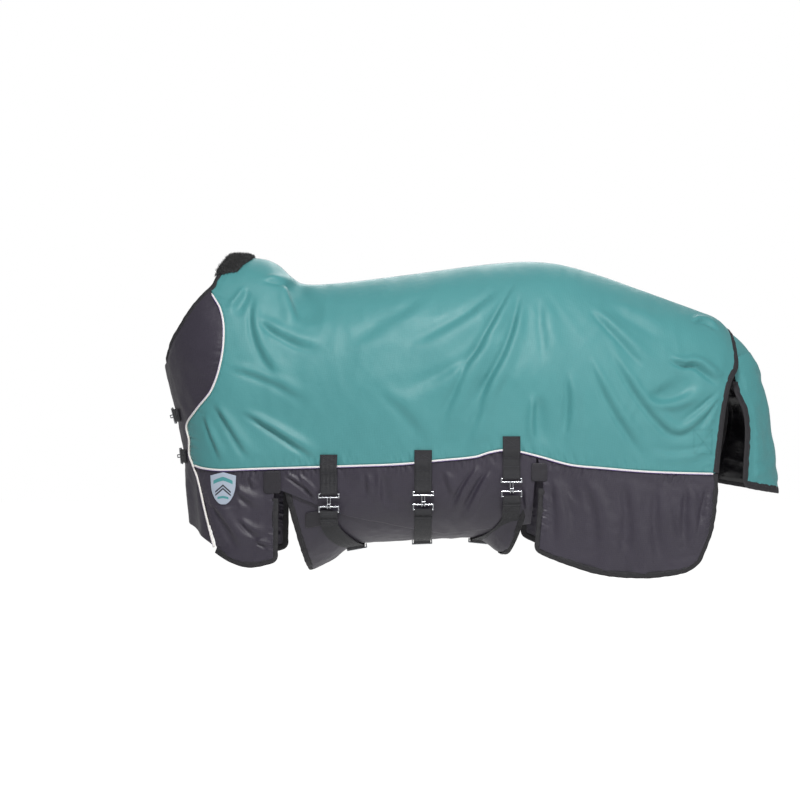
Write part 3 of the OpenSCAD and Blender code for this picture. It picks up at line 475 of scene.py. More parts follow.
def ripstop(name, colour, shade, grid, roughness, grid_tint, bump, sheen):
    """Coated ripstop: plain weave with a thicker thread every few millimetres, woven then coated.
    The grid, in metres, is drawn as coarse as it has to be to show."""
    made, tree, shader = new_material(name)
    uv = add(tree, "ShaderNodeUVMap", uv_map="cloth").outputs[0]
    split = add(tree, "ShaderNodeSeparateXYZ", {0: uv})
    lines = []
    for axis in (0, 1):
        cells = calc(tree, "MULTIPLY", split.outputs[axis], 1 / grid)
        wave = calc(tree, "PINGPONG", cells, 0.5)
        line = add(tree, "ShaderNodeMapRange", {0: wave, 1: 0.36, 2: 0.5},
                   interpolation_type="SMOOTHSTEP")
        lines.append(line.outputs[0])
    threads = calc(tree, "MAXIMUM", lines[0], lines[1])
    place = add(tree, "ShaderNodeTexCoord").outputs["Object"]
    cloud = add(tree, "ShaderNodeTexNoise", {"Vector": place, "Scale": 7, "Detail": 4, "Roughness": 0.6})
    weave = add(tree, "ShaderNodeTexNoise", {"Vector": uv, "Scale": 900, "Detail": 2})
    tint = mixed(tree, cloud.outputs[0], colour, shade)
    amount = calc(tree, "MULTIPLY", threads, 0.16)
    lined = mixed(tree, amount, tint, grid_tint)
    rough = add(tree, "ShaderNodeMapRange", {0: cloud.outputs[0], 1: 0.3, 2: 0.7, 3: roughness - 0.05,
                                             4: roughness + 0.07})
    raised = calc(tree, "MULTIPLY_ADD", threads, 1.0, weave.outputs[0])
    crease = add(tree, "ShaderNodeTexNoise", {"Vector": place, "Scale": 60, "Detail": 3, "Roughness": 0.55})
    coarse = add(tree, "ShaderNodeBump", {"Height": crease.outputs[0], "Distance": 0.0016, "Strength": bump})
    fine = add(tree, "ShaderNodeBump", {"Height": raised, "Distance": 0.0002, "Strength": 0.5,
                                        "Normal": coarse.outputs[0]})
    feed(tree, shader, {"Base Color": lined, "Roughness": rough.outputs[0], "Normal": fine.outputs[0],
                        "Sheen Weight": sheen, "Sheen Roughness": 0.4})
    return made


teal_ripstop = ripstop("coated_polyester_ripstop_teal", "#4c9092", "#44878a", 0.007, 0.52, "#347073", 0.40, 0.06)


def body_relief(p, v, seed):
    """How far the slack outer cloth stands off the form."""
    x, z = p[..., 0], p[..., 2]
    seam = z - curve(SEAM_LINE, x)
    front = x - curve(FRONT_LINE, z)
    tail = curve(TAIL_LINE, z) - BINDING_W - x
    hold = ((0.25 + 0.75 * smooth(0, 55, seam)) * (0.2 + 0.8 * smooth(0, 45, front))
            * (0.3 + 0.7 * smooth(0, 50, tail)))
    relief = 2.0 * fold_relief(x, z, BODY_FOLDS) + 2.6 * crumple(x, z, seed, 95, 1.3, 0.7)
    relief = relief + 1.0 * crumple(x, z, seed + 1, 36, 1.1)
    relief = relief * hold * smooth(0, 0.12, v)
    relief += 1.9 * puckers(x, seam, seed + 2, 21, 42) + 1.2 * puckers(z, front, seed + 3, 19, 34)
    relief += 1.0 * puckers(z, tail, seed + 4, 20, 36)
    relief = relief * (0.15 + 0.85 * smooth(8, 22, tail))
    return RELIEF_MAX * np.tanh(relief / RELIEF_MAX)


for side, side_name, seed in HALVES:
    u, v = spread((0, 1, BODY_COLS), (0, 1, BODY_ROWS))
    v = v + 0.06 * np.sin(math.pi * v) * v
    v[:, 0], v[:, -1] = 0, 1
    p, n = body_at(u, v)
    d = body_relief(p, v, seed)
    outer = p + n * d[..., None]
    inner = p + n * (d - SHELL_T)[..., None]
    outer[:, 0, 1] = inner[:, 0, 1] = 0
    shell = sheet_piece(f"outer_cloth_{side_name}", outer, inner, teal_ripstop, side)
    settle(shell, "rug", "ripstop_teal", "outer_shell", "body_wadding")

# ---------------------------------------------------------------------------------------------
# Lining
# Smooth dark nylon taffeta, quilted through the wadding to the outer cloth in wide channels.
# ---------------------------------------------------------------------------------------------
def smooth_nylon(name, colour, shade, roughness):
    """Calendered nylon taffeta: a plain close weave pressed to a shine, so folds catch the light."""
    made, tree, shader = new_material(name)
    place = add(tree, "ShaderNodeTexCoord").outputs["Object"]
    cloud = add(tree, "ShaderNodeTexNoise", {"Vector": place, "Scale": 9, "Detail": 4})
    tint = mixed(tree, cloud.outputs[0], colour, shade)
    rough = add(tree, "ShaderNodeMapRange", {0: cloud.outputs[0], 3: roughness - 0.06, 4: roughness + 0.06})
    crease = add(tree, "ShaderNodeTexNoise", {"Vector": place, "Scale": 38, "Detail": 5, "Roughness": 0.6})
    bump = add(tree, "ShaderNodeBump", {"Height": crease.outputs[0], "Distance": 0.004, "Strength": 0.35})
    feed(tree, shader, {"Base Color": tint, "Roughness": rough.outputs[0], "Normal": bump.outputs[0]})
    return made


lining_nylon = smooth_nylon("calendered_nylon_lining_navy", "#14141d", "#1b1b27", 0.36)
LINING_T = 1.4
QUILT_PITCH = 150
RIB_LENGTH = 760

for side, side_name, seed in HALVES:
    u, v = spread((0, 1, 200), (0, 1, 70))
    p, n = body_at(u, v)
    d = np.minimum(body_relief(p, v, seed), 4)
    arc = v * RIB_LENGTH
    seams = (np.abs(np.sin(math.pi * p[..., 0] / QUILT_PITCH)) * np.abs(np.sin(math.pi * arc / QUILT_PITCH))) ** 0.5
    inner = p + n * (d - SANDWICH_T - 3 * seams + 1.5)[..., None]
    outer = inner + n * LINING_T
    outer[:, 0, 1] = inner[:, 0, 1] = 0
    lining = sheet_piece(f"lining_{side_name}", outer, inner, lining_nylon, side)
    settle(lining, "rug", "lining_nylon", "lining")

# ---------------------------------------------------------------------------------------------
# Black skirts
# The same coated ripstop in black, doubled with the lining. They are sewn into the piped seam and
# hang free: the front and rear skirts straight down, the side skirts close to the belly.
# ---------------------------------------------------------------------------------------------
black_ripstop = ripstop("coated_polyester_ripstop_black", "#2a2631", "#342f3c", 0.0055, 0.46, "#4e4859", 0.45, 0.10)

STRAP_X = [-203, 66, 316]
UNDER_X = [-130, 66, 236]
STRAP_W = 50
PRESSED_HALF = 34   # half the width of the cloth that a strap presses flat
SKIRT_CLOTH_T = SKIRT_T * 0.6
# Middle, width and height of the patches on the seams and of the crest
PATCHES = [(-366, -597, 50, 64), (395, -566, 46, 52), (-508, -621, 76, 84)]


def strap_rest(x):
    """1 away from the belly straps and near 0 under them, where they press the cloth flat."""
    rest = np.ones_like(x)
    for at_x in STRAP_X:
        rest = rest * (1 - 0.9 * np.exp(-((x - at_x) / PRESSED_HALF) ** 4))
    return rest


FRONT_SKIRT_FOLDS = [
    ([(-520, -600), (-469, -630), (-395, -682)], 14, 5),
    ([(-560, -640), (-500, -720), (-455, -800)], 18, 6),
    ([(-470, -700), (-430, -740), (-385, -760)], 12, 4),
    ([(-417, -768), (-372, -784)], 8, 4),
    ([(-440, -580), (-420, -620)], 8, 3),
]
SIDE_SKIRT_FOLDS = [
    ([(-337, -572), (-290, -600), (-240, -640)], 9, 4.5),
    ([(-300, -566), (-262, -620), (-235, -665)], 9, 4),
    ([(-57, -556), (-51, -690)], 15, -4.5),
    ([(-100, -560), (-90, -650)], 12, 3),
    ([(257, -548), (205, -640), (172, -725)], 13, 6),
    ([(225, -535), (170, -620), (140, -700)], 10, 4.5),
    ([(120, -560), (150, -650)], 14, 3),
    ([(345, -600), (360, -700)], 9, 4),
]
REAR_SKIRT_FOLDS = [
    ([(430, -570), (445, -700), (440, -800)], 18, 5),
    ([(520, -575), (560, -680), (570, -840)], 22, 4),
    ([(640, -585), (660, -700), (650, -850)], 24, 5),
    ([(740, -590), (735, -700), (760, -850)], 22, 4.5),
    ([(830, -595), (820, -700), (835, -810)], 18, 5),
    ([(890, -600), (870, -690), (850, -790)], 13, 4),
]
SKIRTS = {
    "front_skirt": ([(0, -598), (0.5, -563), (1, -530)], [(0, -362), (0.3, -362), (1, -364)],
                    FRONT_HEM, BINDING_W, 0, 90, 100, FRONT_SKIRT_FOLDS, 3, (0.26, 0.26)),
    "side_skirt": ([(0, -360), (1, -358)], [(0, 388), (0.3, 383), (1, 375)],
                   SIDE_HEM, 0, 1, 260, 76, SIDE_SKIRT_FOLDS, 5, (0.75, 0.21)),
    "rear_skirt": ([(0, 390), (0.3, 406), (1, 395)], [(0, 905), (0.4, 903), (0.8, 888), (1, 853)],
                   REAR_HEM, BINDING_W, 0, 190, 110, REAR_SKIRT_FOLDS, 7, (0.52, 0.31)),
}


def skirt_grid(x0, x1, hem, lift, under, cols, rows):
    """Points, normals and shares of a skirt from its seam down to its hem."""
    u, v = spread((0, 1, cols), (0, 1, rows))
    x = lerp(curve(x0, v), curve(x1, v), u)
    z = lerp(curve(SEAM_LINE, x) - 1.5, curve(hem, x) + lift, v)
    p, n = on_side(x, z, under)
    return p, n, u, v


def skirt_relief(p, v, u, folds, seed, under):
    """How far a skirt hangs in and out: folds grow towards the hem, gathers stay at the seam."""
    x, z = p[..., 0], p[..., 2]
    seam = curve(SEAM_LINE, x) - z
    loose = smooth(0, 60, seam)
    relief = 1.7 * fold_relief(x, z, folds) * (0.35 + 0.65 * loose)
    relief += (3.2 * crumple(x, z, seed, 80, 1.2, 1.2) * loose
               + 1.3 * crumple(x, z, seed + 1, 30, 1.2) * smooth(0, 25, seam))
    if not under:
        relief += 2.4 * loose * np.sin(x / 58 + 1.7 * np.sin(z / 130 + x / 170) + seed) * smooth(0.1, 1, v)
    relief = relief * strap_rest(x)
    flat = np.ones_like(x)
    for at_x, at_z, w, h in PATCHES:
        flat = flat * (1 - 0.93 * smooth(w * 0.5 + 12, w * 0.5, np.abs(x - at_x))
                       * smooth(h * 0.5 + 12, h * 0.5, np.abs(z - at_z)))
    relief += 1.6 * puckers(x, seam, seed + 2, 17, 34)
    edge = np.minimum(u, 1 - u) * np.ptp(x)
    relief += (0 if under else 1.4) * puckers(z, edge, seed + 3, 15, 26) * (v > 0.2)
    return 11 * np.tanh(relief * flat / 11)


for name, (x0, x1, hem, lift, under, cols, rows, folds, seed, flat) in SKIRTS.items():
    for side, side_name in SIDES:
        p, n, u, v = skirt_grid(x0, x1, hem, lift, under, cols, rows)
        d = skirt_relief(p, v, u, folds, seed + (30 if side == FAR else 0), under)
        d = np.minimum(d, 5) if under else d
        piece = cloth_piece(f"{name}_{side_name}", p, n, d, SKIRT_CLOTH_T, black_ripstop, side)
        settle(piece, "rug", "ripstop_black", f"{name}_{side_name}")

# ---------------------------------------------------------------------------------------------
# Shoulder panels
# Black ripstop fronts from the neck edge and the chest opening back to the shoulder piping. The
# near one laps the far one at the chest; below the lower fastening they hang in loose folds.
# ---------------------------------------------------------------------------------------------
CHEST_Z = [-406, -528]
NECK_START = -45
CHEST_BOTTOM = -700
CENTRE_GAP = 1.5


def chest_angle(x, z):
    return np.arcsin(np.clip((SHOULDER_X - x) / (SHOULDER_X - chest_centre(z)), 0, 1))


def shoulder_grid(cols, rows):
    """Points and normals of a shoulder panel, from the neck and centre edge back to the piping."""
    u, t = spread((1, 0, cols), (0, 1, rows))
    share = 0.68
    last = float(rib_z(FRONT_LINE[-1][0], 1.0))
    bottom = lerp(CHEST_BOTTOM, FRONT_HEM[0][1] + BINDING_W, 1 - u ** 0.7)
    h = np.where(t < share, lerp(NECK_START, last, t / share), lerp(last, bottom, (t - share) / (1 - share)))
    rear = curve(FRONT_LINE, h) - 3
    front = np.maximum(curve(NECK_LINE, h) + BINDING_W, chest_centre(h))
    closed = smooth(NECK_LINE[0][0] + 3, NECK_LINE[0][0] - 16, h)
    a = lerp(chest_angle(rear, h), lerp(chest_angle(front, h), math.pi / 2, closed), u)
    x = SHOULDER_X - (SHOULDER_X - chest_centre(h)) * np.sin(a)
    p, n = on_side(x, h)
    p[..., 1] = np.minimum(p[..., 1], -CENTRE_GAP)
    return p, n, u, t


for side, side_name, seed in ((NEAR, "left", 61), (FAR, "right", 73)):
    p, n, u, t = shoulder_grid(84, 230)
    y, z = p[..., 1], p[..., 2]
    edge = smooth(0, 0.1, u) * smooth(0, 0.12, 1 - u)
    pressed = sum(np.exp(-((z - at_z) / PRESSED_HALF) ** 4) for at_z in CHEST_Z)
    chest_hold = 1 - 0.85 * pressed * smooth(-140, -110, y)
    d = 3.4 * crumple(y * 1.4, z * 0.55, seed, 62, 1.2) + 1.0 * crumple(y, z * 0.7, seed + 1, 28)
    d = d + 5 * smooth(-560, -620, z) * np.sin(y / 17 + 0.6 * np.sin(z / 60)) - 3 * smooth(-560, -640, z)
    d = d * edge * chest_hold + 0.8 * puckers(z, u * 200, seed + 2, 21, 34)
    d = 10 * np.tanh(d / 10)
    panel = cloth_piece(f"shoulder_panel_{side_name}", p, n, d, SKIRT_CLOTH_T, black_ripstop, side)
    settle(panel, "rug", "ripstop_black", f"shoulder_panel_{side_name}")


def on_chest(y, z):
    """Points and normals on the front of the chest."""
    y, z = np.broadcast_arrays(np.asarray(y, float), np.asarray(z, float))
    rest = np.maximum(0, 1 - roof(SHOULDER_X, z) ** ROOF_P - (y / curve(WIDTH_LINE, SHOULDER_X)) ** 2)
    p = np.stack([SHOULDER_X - (SHOULDER_X - curve(CHEST_LINE, z)) * rest ** (1 / CHEST_P), y, z], -1)
    return p, outward(p)


flap_z, flap_y = spread((-312, -640, 90), (-60, 60, 40))
p, n = on_chest(flap_y, flap_z)
d = 0.5 * crumple(flap_y, flap_z, 83, 50)
under_flap = sheet_piece("chest_under_flap", p + n * (d - 7.2)[..., None], p + n * (d - 9.2)[..., None],
                         black_ripstop, FAR)
settle(under_flap, "rug", "ripstop_black", "chest_under_flap")

# ---------------------------------------------------------------------------------------------
# Belly wrap
# A broad black panel from inside one side skirt, under the belly, to the other side. It is tight
# under the straps and slack at its corners, which hang.
# ---------------------------------------------------------------------------------------------
WRAP_ROOM = 2.5
WRAP_T = 3
WRAP_START = 8


def wrap_edges(a):
    """Front and rear edge of the wrap at an angle down from the near side."""
    s = np.sin(np.radians(a))
    return lerp(-344, -268, s) + BINDING_W, lerp(376, 296, s ** 2) - BINDING_W


def wrap_hang(u, a):
    """How far the slack ends of the wrap hang below the form: the front edge and the rear corners."""
    low = np.sin(np.radians(a))
    corner = np.exp(-((np.minimum(a, 180 - a) - 55) / 26) ** 2)
    return 27 * smooth(0.30, 0, u) ** 1.3 * low ** 1.5 + 46 * smooth(0.86, 1, u) * corner


def wrap_relief(p, u):
    x, y = p[..., 0], p[..., 1]
    slack = smooth(0.4, 0, u) + smooth(0.7, 1, u)
    relief = 3.6 * crumple(x, y, 91, 70, 1.2, 0.8) * (0.3 + 0.7 * slack) + 1.2 * crumple(x, y, 92, 28)
    return np.clip(relief, -7, 5)


u, a = spread((0, 1, 150), (WRAP_START, 180 - WRAP_START, 210))
front, rear = wrap_edges(a)
p, n = on_belly(lerp(front, rear, u), a)
hidden = smooth(50, 30, np.minimum(a, 180 - a))
d = wrap_relief(p, u) * (1 - hidden) - 2 * hidden - SKIRT_T - WRAP_ROOM
near_strap = np.ones_like(d)
for at_x in UNDER_X:
    near_strap = near_strap * (1 - np.exp(-((p[..., 0] - at_x) / PRESSED_HALF) ** 4))
d = lerp(np.minimum(d, -SKIRT_T - WRAP_ROOM - 1), d, near_strap)
hang = wrap_hang(u, a)
p = p - [0, 0, 1] * hang[..., None]
wrap = cloth_piece("belly_wrap", p, n, d, WRAP_T * 0.7, black_ripstop, FAR)
settle(wrap, "rug", "ripstop_black", "belly_wrap")

# ---------------------------------------------------------------------------------------------
# Reflective piping
# A cord in a folded strip of silver-white reflective tape, with its violet under-edge showing,
# sewn into the shoulder and skirt seams.
# ---------------------------------------------------------------------------------------------
def along(p, n):
    """Points, normals and sideways directions along a path."""
    t = np.gradient(p, axis=0)
    t = unit(t)
    n = unit(n - t * np.sum(n * t, -1, keepdims=True))
    return p, n, np.cross(t, n)


def path_length(p):
    return np.concatenate([[0], np.linalg.norm(np.diff(p, axis=0), axis=1).cumsum()])


def bar_along(name, p, n, outline, material, side=NEAR):
    """A closed bar with an outline of (sideways, outward) points, one for each place or the same for all."""
    p, n, w = along(p, n)
    outline = np.asarray(outline, float)
    if outline.ndim == 2:
        outline = np.broadcast_to(outline, (len(p), *outline.shape))
    rings = p[:, None] + w[:, None] * outline[..., :1] + n[:, None] * outline[..., 1:]
    if side == FAR:
        rings = rings * MIRROR
    count, sides = rings.shape[:2]
    index = np.arange(count * sides).reshape(count, sides)
    after = np.roll(index, -1, 1)
    long_faces = np.stack([index[:-1], after[:-1], after[1:], index[1:]], -1).reshape(-1, 4)
    middle = np.full(sides, count * sides)
    ends = np.concatenate([np.stack([middle, after[0], index[0]], -1),
                           np.stack([middle + 1, index[-1], after[-1]], -1)])
    points = np.concatenate([rings.reshape(-1, 3), [rings[0].mean(0), rings[-1].mean(0)]])
    around = path_length(outline[0])
    uv = np.stack(np.meshgrid(path_length(p), around, indexing="ij"), -1).reshape(-1, 2) / 1000
    return closed_mesh(name, points, long_faces, ends, material, np.concatenate([uv, uv[:1], uv[-1:]]))


def round_outline(radius, height, sides=12):
    a = np.linspace(0, 2 * math.pi, sides, endpoint=False)
    return np.stack([radius * np.sin(a), height + radius * np.cos(a)], -1)


def reflective_tape(name):
    """Glass-bead reflective tape over a cord: silver-white, slightly grainy, with a violet edge below."""
    made, tree, shader = new_material(name)
    uv = add(tree, "ShaderNodeUVMap", uv_map="cloth").outputs[0]
    split = add(tree, "ShaderNodeSeparateXYZ", {0: uv})
    edge = add(tree, "ShaderNodeMapRange", {0: split.outputs[1], 1: 0.0015, 2: 0.0021})
    back = add(tree, "ShaderNodeMapRange", {0: split.outputs[1], 1: 0.0078, 2: 0.0084, 3: 1.0, 4: 0.0})
    violet = calc(tree, "MULTIPLY", edge.outputs[0], back.outputs[0])
    beads = add(tree, "ShaderNodeTexNoise", {"Vector": uv, "Scale": 1400, "Detail": 1})
    white = mixed(tree, beads.outputs[0], "#f4f1ea", "#e2ded8")
    tint = mixed(tree, violet, white, "#7450ae")
    rough = add(tree, "ShaderNodeMapRange", {0: beads.outputs[0], 3: 0.3, 4: 0.45})
    bump = add(tree, "ShaderNodeBump", {"Height": beads.outputs[0], "Distance": 0.0001, "Strength": 0.4})
    feed(tree, shader, {"Base Color": tint, "Roughness": rough.outputs[0], "Normal": bump.outputs[0]})
    return made


piping_tape = reflective_tape("glass_bead_reflective_tape_white")
PIPING_D = 5
PIPING_FULL = 3.3

for side, side_name in SIDES:
    x = np.linspace(SEAM_LINE[0][0] + PIPING_D + 1, 899, 420)
    p, n = on_side(x, curve(SEAM_LINE, x))
    lift = 1.0 + 0.5 * np.sin(x / 23) * np.sin(x / 61)
    bead = bar_along(f"seam_piping_{side_name}", p + n * lift[:, None], n,
                     round_outline(PIPING_FULL, PIPING_FULL - 1.2), piping_tape, side)
    settle(bead, "rug", "piping_reflective", f"seam_piping_{side_name}")
    z = np.linspace(NECK_START - 12, -786, 300)
    p, n = on_side(curve(FRONT_LINE, z) - 1.5, z)
    bead = bar_along(f"shoulder_piping_{side_name}", p, n, round_outline(PIPING_FULL, PIPING_FULL - 0.8),
                     piping_tape, side)
    settle(bead, "rug", "piping_reflective", f"shoulder_piping_{side_name}")

# ---------------------------------------------------------------------------------------------
# Edge bindings
# Ribbed black polyester tape folded over every raw edge and sewn through near its inner edge. The
# thread pulls it in, so it waves a little.
# ---------------------------------------------------------------------------------------------
def ribbed_tape(name, colour, rib):
    """Grosgrain: close ribs across the tape, in matt spun polyester."""
    made, tree, shader = new_material(name)
    uv = add(tree, "ShaderNodeUVMap", uv_map="cloth").outputs[0]
    ribs = add(tree, "ShaderNodeTexWave", {"Vector": uv, "Scale": 1 / rib / 3.2, "Distortion": 0.4, "Detail": 1},
               wave_type="BANDS", bands_direction="X")
    fuzz = add(tree, "ShaderNodeTexNoise", {"Vector": uv, "Scale": 300, "Detail": 3})
    tint = mixed(tree, fuzz.outputs[0], colour, "#2b2a2e")
    rough = add(tree, "ShaderNodeMapRange", {0: fuzz.outputs[0], 3: 0.6, 4: 0.8})
    bump = add(tree, "ShaderNodeBump", {"Height": ribs.outputs[0], "Distance": 0.0004, "Strength": 0.6})
    feed(tree, shader, {"Base Color": tint, "Roughness": rough.outputs[0], "Normal": bump.outputs[0]})
    return made


binding_tape = ribbed_tape("grosgrain_binding_tape_black", "#161518", 0.0016)
OVERLAP, TAIL_OVERLAP = 4, 8
PATH_STEP = 3.0


def folded_outline(length, w0, w1, t0, t1, seed):
    """Outline of a folded tape at each place along it, waving where the thread draws it in."""
    dice = np.random.default_rng(seed)
    s = length[:, None]
    a = np.linspace(0, 2 * math.pi, 14, endpoint=False)[None]
    wave = np.sin(s / 6.1 + dice.uniform(0, 6) + 1.5 * np.sin(s / 31)) * np.sin(s / 17.0 + dice.uniform(0, 6))
    wide = (w1 - w0) / 2 + 0.5 * wave
    thick = (t0 - t1) / 2 + 0.35 * wave
    c, d = np.cos(a), np.sin(a)
    across = (w0 + w1) / 2 + wide * np.sign(c) * np.abs(c) ** 0.55
    out = (t0 + t1) / 2 + 0.8 * wave + thick * np.sign(d) * np.abs(d) ** 0.75
    return np.stack([across, out], -1)


def resample(p, n):
    """A path with evenly spaced places."""
    length = path_length(p)
    s = np.linspace(0, length[-1], max(8, int(length[-1] / PATH_STEP)))
    q = np.stack([np.interp(s, length, p[:, k]) for k in range(3)], -1)
    m = unit(np.stack([np.interp(s, length, n[:, k]) for k in range(3)], -1))
    return q, m


def softened(p, n, count):
    """A path with its corners rounded over a count of places."""
    kernel = np.hanning(count + 2)[1:-1]
    kernel = kernel / kernel.sum()
    p, n = (np.stack([np.convolve(np.pad(q[:, k], count // 2, mode="edge"), kernel, "valid") for k in range(3)], -1)
            for q in (p, n))
    return p, unit(n)


stitch_lines = {"rug": [], "tail_flap": []}


def bind_edge(name, p, n, turn, thick, seed, nodes, body="rug", side=NEAR, overlap=OVERLAP):
    """Folded tape along an edge: turn is 1 or -1, the side of the path that the tape stands out on."""
    p, n = softened(*resample(p, n), 9)
    length = path_length(p)
    outline = folded_outline(length, -overlap * turn, BINDING_W * turn, 1.6, -thick - 1.4, seed)
    piece = bar_along(name, p, n, outline, binding_tape, side)
    settle(piece, body, "binding_black", *nodes)
    q, m, w = along(p, n)
    flip = MIRROR if side == FAR else [1, 1, 1]
    stitch_lines[body].append(((q + w * turn * 0.5 + m * 2.1) * flip, m * flip))
    return piece


u = np.linspace(-1, 1, 500)
p, n = body_at(np.ones_like(u), np.abs(u))
flip = np.where(u[:, None] < 0, MIRROR, [1, 1, 1])
d = body_relief(p, np.abs(u), 11)
bind_edge("rear_binding", (p + n * d[:, None]) * flip, n * flip, -1, SANDWICH_T, 5, ["rear_binding"],
          overlap=TAIL_OVERLAP)

z = np.linspace(NECK_LINE[0][0], NECK_START, 120)
front = np.maximum(curve(NECK_LINE, z) + BINDING_W, chest_centre(z))
p, n = on_side(front, z)
p[:, 1] = np.minimum(p[:, 1], -CENTRE_GAP)
v = np.linspace(0.27, 0, 60)
p2, n2 = body_at(np.zeros_like(v), v)
p, n = np.concatenate([p, p2]), np.concatenate([n, n2])
bind_edge("neck_binding", np.concatenate([p, p[-2::-1] * MIRROR]), np.concatenate([n, n[-2::-1] * MIRROR]), -1,
          SANDWICH_T, 9, ["neck_binding"])


def drop_path(x_line, hem, v0, v1, count):
    v = np.linspace(v0, v1, count)
    x = curve(x_line, v)
    return on_side(x, lerp(curve(SEAM_LINE, x) - 1.5, curve(hem, x) + BINDING_W, v))


def hem_path(x0, x1, hem, count):
    x = np.linspace(x0, x1, count)
    return on_side(x, curve(hem, x) + BINDING_W)


def joined(*paths):
    return np.concatenate([q[0] for q in paths]), np.concatenate([q[1] for q in paths])


front_skirt, rear_skirt = SKIRTS["front_skirt"], SKIRTS["rear_skirt"]
for side, side_name in SIDES:
    p, n = joined(drop_path(front_skirt[1], FRONT_HEM, 0.32, 1, 60), hem_path(-364, -530, FRONT_HEM, 90))
    name = f"front_hem_binding_{side_name}"
    bind_edge(name, p, n, -1, SKIRT_CLOTH_T, 15, [name], side=side)
    p, n = joined(drop_path(rear_skirt[0], REAR_HEM, 0.32, 1, 60), hem_path(395, 853, REAR_HEM, 160),
                  drop_path(rear_skirt[1], REAR_HEM, 1, -0.02, 70))
    name = f"rear_hem_binding_{side_name}"
    bind_edge(name, p, n, 1, SKIRT_CLOTH_T, 17, [name], side=side)
for k, (name, turn) in enumerate((("wrap_front_binding", 1), ("wrap_rear_binding", -1))):
    a = np.linspace(WRAP_START, 180 - WRAP_START, 240)
    p, n = on_belly(wrap_edges(a)[k], a)
    hidden = smooth(50, 30, np.minimum(a, 180 - a))
    end = np.full_like(a, float(k))
    d = wrap_relief(p, end) * (1 - hidden) - 2 * hidden - SKIRT_T - WRAP_ROOM
    p = p + n * d[:, None] - [0, 0, 1] * wrap_hang(end, a)[:, None]
    bind_edge(name, p, n, turn, WRAP_T * 0.7, 19 + k, [name])

# ---------------------------------------------------------------------------------------------
# Reinforcement patches
# Doubled black cloth sewn over the tops of both slits, where a rug tears first, and a square on
# the wrap behind the front strap.
# ---------------------------------------------------------------------------------------------
PATCH_T = 1.5
WRAP_PATCH_X, WRAP_PATCH_ANGLE = -236, 27
patch_cloth = ripstop("doubled_polyester_ripstop_black", "#1c1a20", "#232027", 0.0055, 0.55, "#37333e", 0.4, 0.12)


def rounded_square(count, power=7):
    """A grid on a square with rounded corners: two shares from -1 to 1, and a share of the way out."""
    a, b = spread((-1, 1, count), (-1, 1, count))
    out = np.maximum(np.maximum(np.abs(a), np.abs(b)), 1e-6)
    reach = out / ((np.abs(a) / out) ** power + (np.abs(b) / out) ** power) ** (1 / power)
    return a / out * reach, b / out * reach, out


for name, (x, z, w, h) in (("front_gusset_patch", PATCHES[0]), ("rear_gusset_patch", PATCHES[1])):
    for side, side_name in SIDES:
        a, b, out = rounded_square(34)
        p, n = on_side(x + w / 2 * a, z - h / 2 * b)
        lift = 2.2 + PATCH_T * (0.4 + 0.6 * (1 - out ** 6)) + 0.3 * crumple(p[..., 0], p[..., 2], 5, 16)
        patch = sheet_piece(f"{name}_{side_name}", p + n * lift[..., None], p + n * 1.2, patch_cloth, side)
        settle(patch, "rug", "ripstop_black", f"{name}es")
        if side == NEAR:
            rim = np.linspace(0, 2 * math.pi, 90)
            c, s = np.cos(rim), np.sin(rim)
            far_out = (np.abs(c) ** 7 + np.abs(s) ** 7) ** (-1 / 7) * 0.9
            q, m = on_side(x + w / 2 * c * far_out, z - h / 2 * s * far_out)
            for turned in ([1, 1, 1], MIRROR):
                stitch_lines["rug"].append(((q + m * (2.3 + PATCH_T)) * turned, m * turned))

for side, side_name in SIDES:
    a, b, out = rounded_square(34)
    p, n = on_belly(WRAP_PATCH_X + 37 * a, WRAP_PATCH_ANGLE + 5.4 * b)
    lift = -SKIRT_T - WRAP_ROOM + 4.0 + PATCH_T * (0.4 + 0.6 * (1 - out ** 6))
    patch = cloth_piece(f"wrap_patch_{side_name}", p, n, lift, 2.6, patch_cloth, side)
    settle(patch, "rug", "ripstop_black")

# ---------------------------------------------------------------------------------------------
# Crest
# A woven shield sewn to the near front skirt: silver-blue satin with two curved teal bars and two
# plain dark chevrons. It names no maker.
# ---------------------------------------------------------------------------------------------
CREST_X, CREST_Z, CREST_W, CREST_H = PATCHES[2]
crest_weave, tree, shader = new_material("satin_woven_badge_silver_blue")
uv = add(tree, "ShaderNodeUVMap", uv_map="cloth").outputs[0]
split = add(tree, "ShaderNodeSeparateXYZ", {0: uv})
across = calc(tree, "ABSOLUTE", split.outputs[0])
bow = calc(tree, "POWER", across, 2.0)
arched = calc(tree, "MULTIPLY_ADD", bow, -0.10, split.outputs[1])
pointed = calc(tree, "MULTIPLY_ADD", across, -0.30, split.outputs[1])
tint = "#b4bfce"
for middle, half, reach, source, ink in (
        (0.20, 0.060, 0.74, arched, "#4e9a9c"), (0.40, 0.030, 0.60, pointed, "#33333d"),
        (0.50, 0.030, 0.60, pointed, "#33333d"), (0.76, 0.035, 0.42, arched, "#4e9a9c")):
    inside = calc(tree, "COMPARE", source, middle, half)
    short = calc(tree, "LESS_THAN", across, reach)
    mask = calc(tree, "MULTIPLY", inside, short)
    tint = mixed(tree, mask, tint, ink)
border = calc(tree, "GREATER_THAN", split.outputs[2], 0.91)
threads = add(tree, "ShaderNodeTexWave", {"Vector": uv, "Scale": 26, "Distortion": 0.6, "Detail": 1},
              wave_type="BANDS", bands_direction="DIAGONAL")
edged = mixed(tree, border, tint, "#8f9bab")
amount = calc(tree, "MULTIPLY", threads.outputs[0], 0.25)
shaded = mixed(tree, amount, edged, "#9aa6b6", blend_type="MULTIPLY")
bump = add(tree, "ShaderNodeBump", {"Height": threads.outputs[0], "Distance": 0.0003, "Strength": 0.5})
feed(tree, shader, {"Base Color": shaded, "Normal": bump.outputs[0], "Roughness": 0.38})

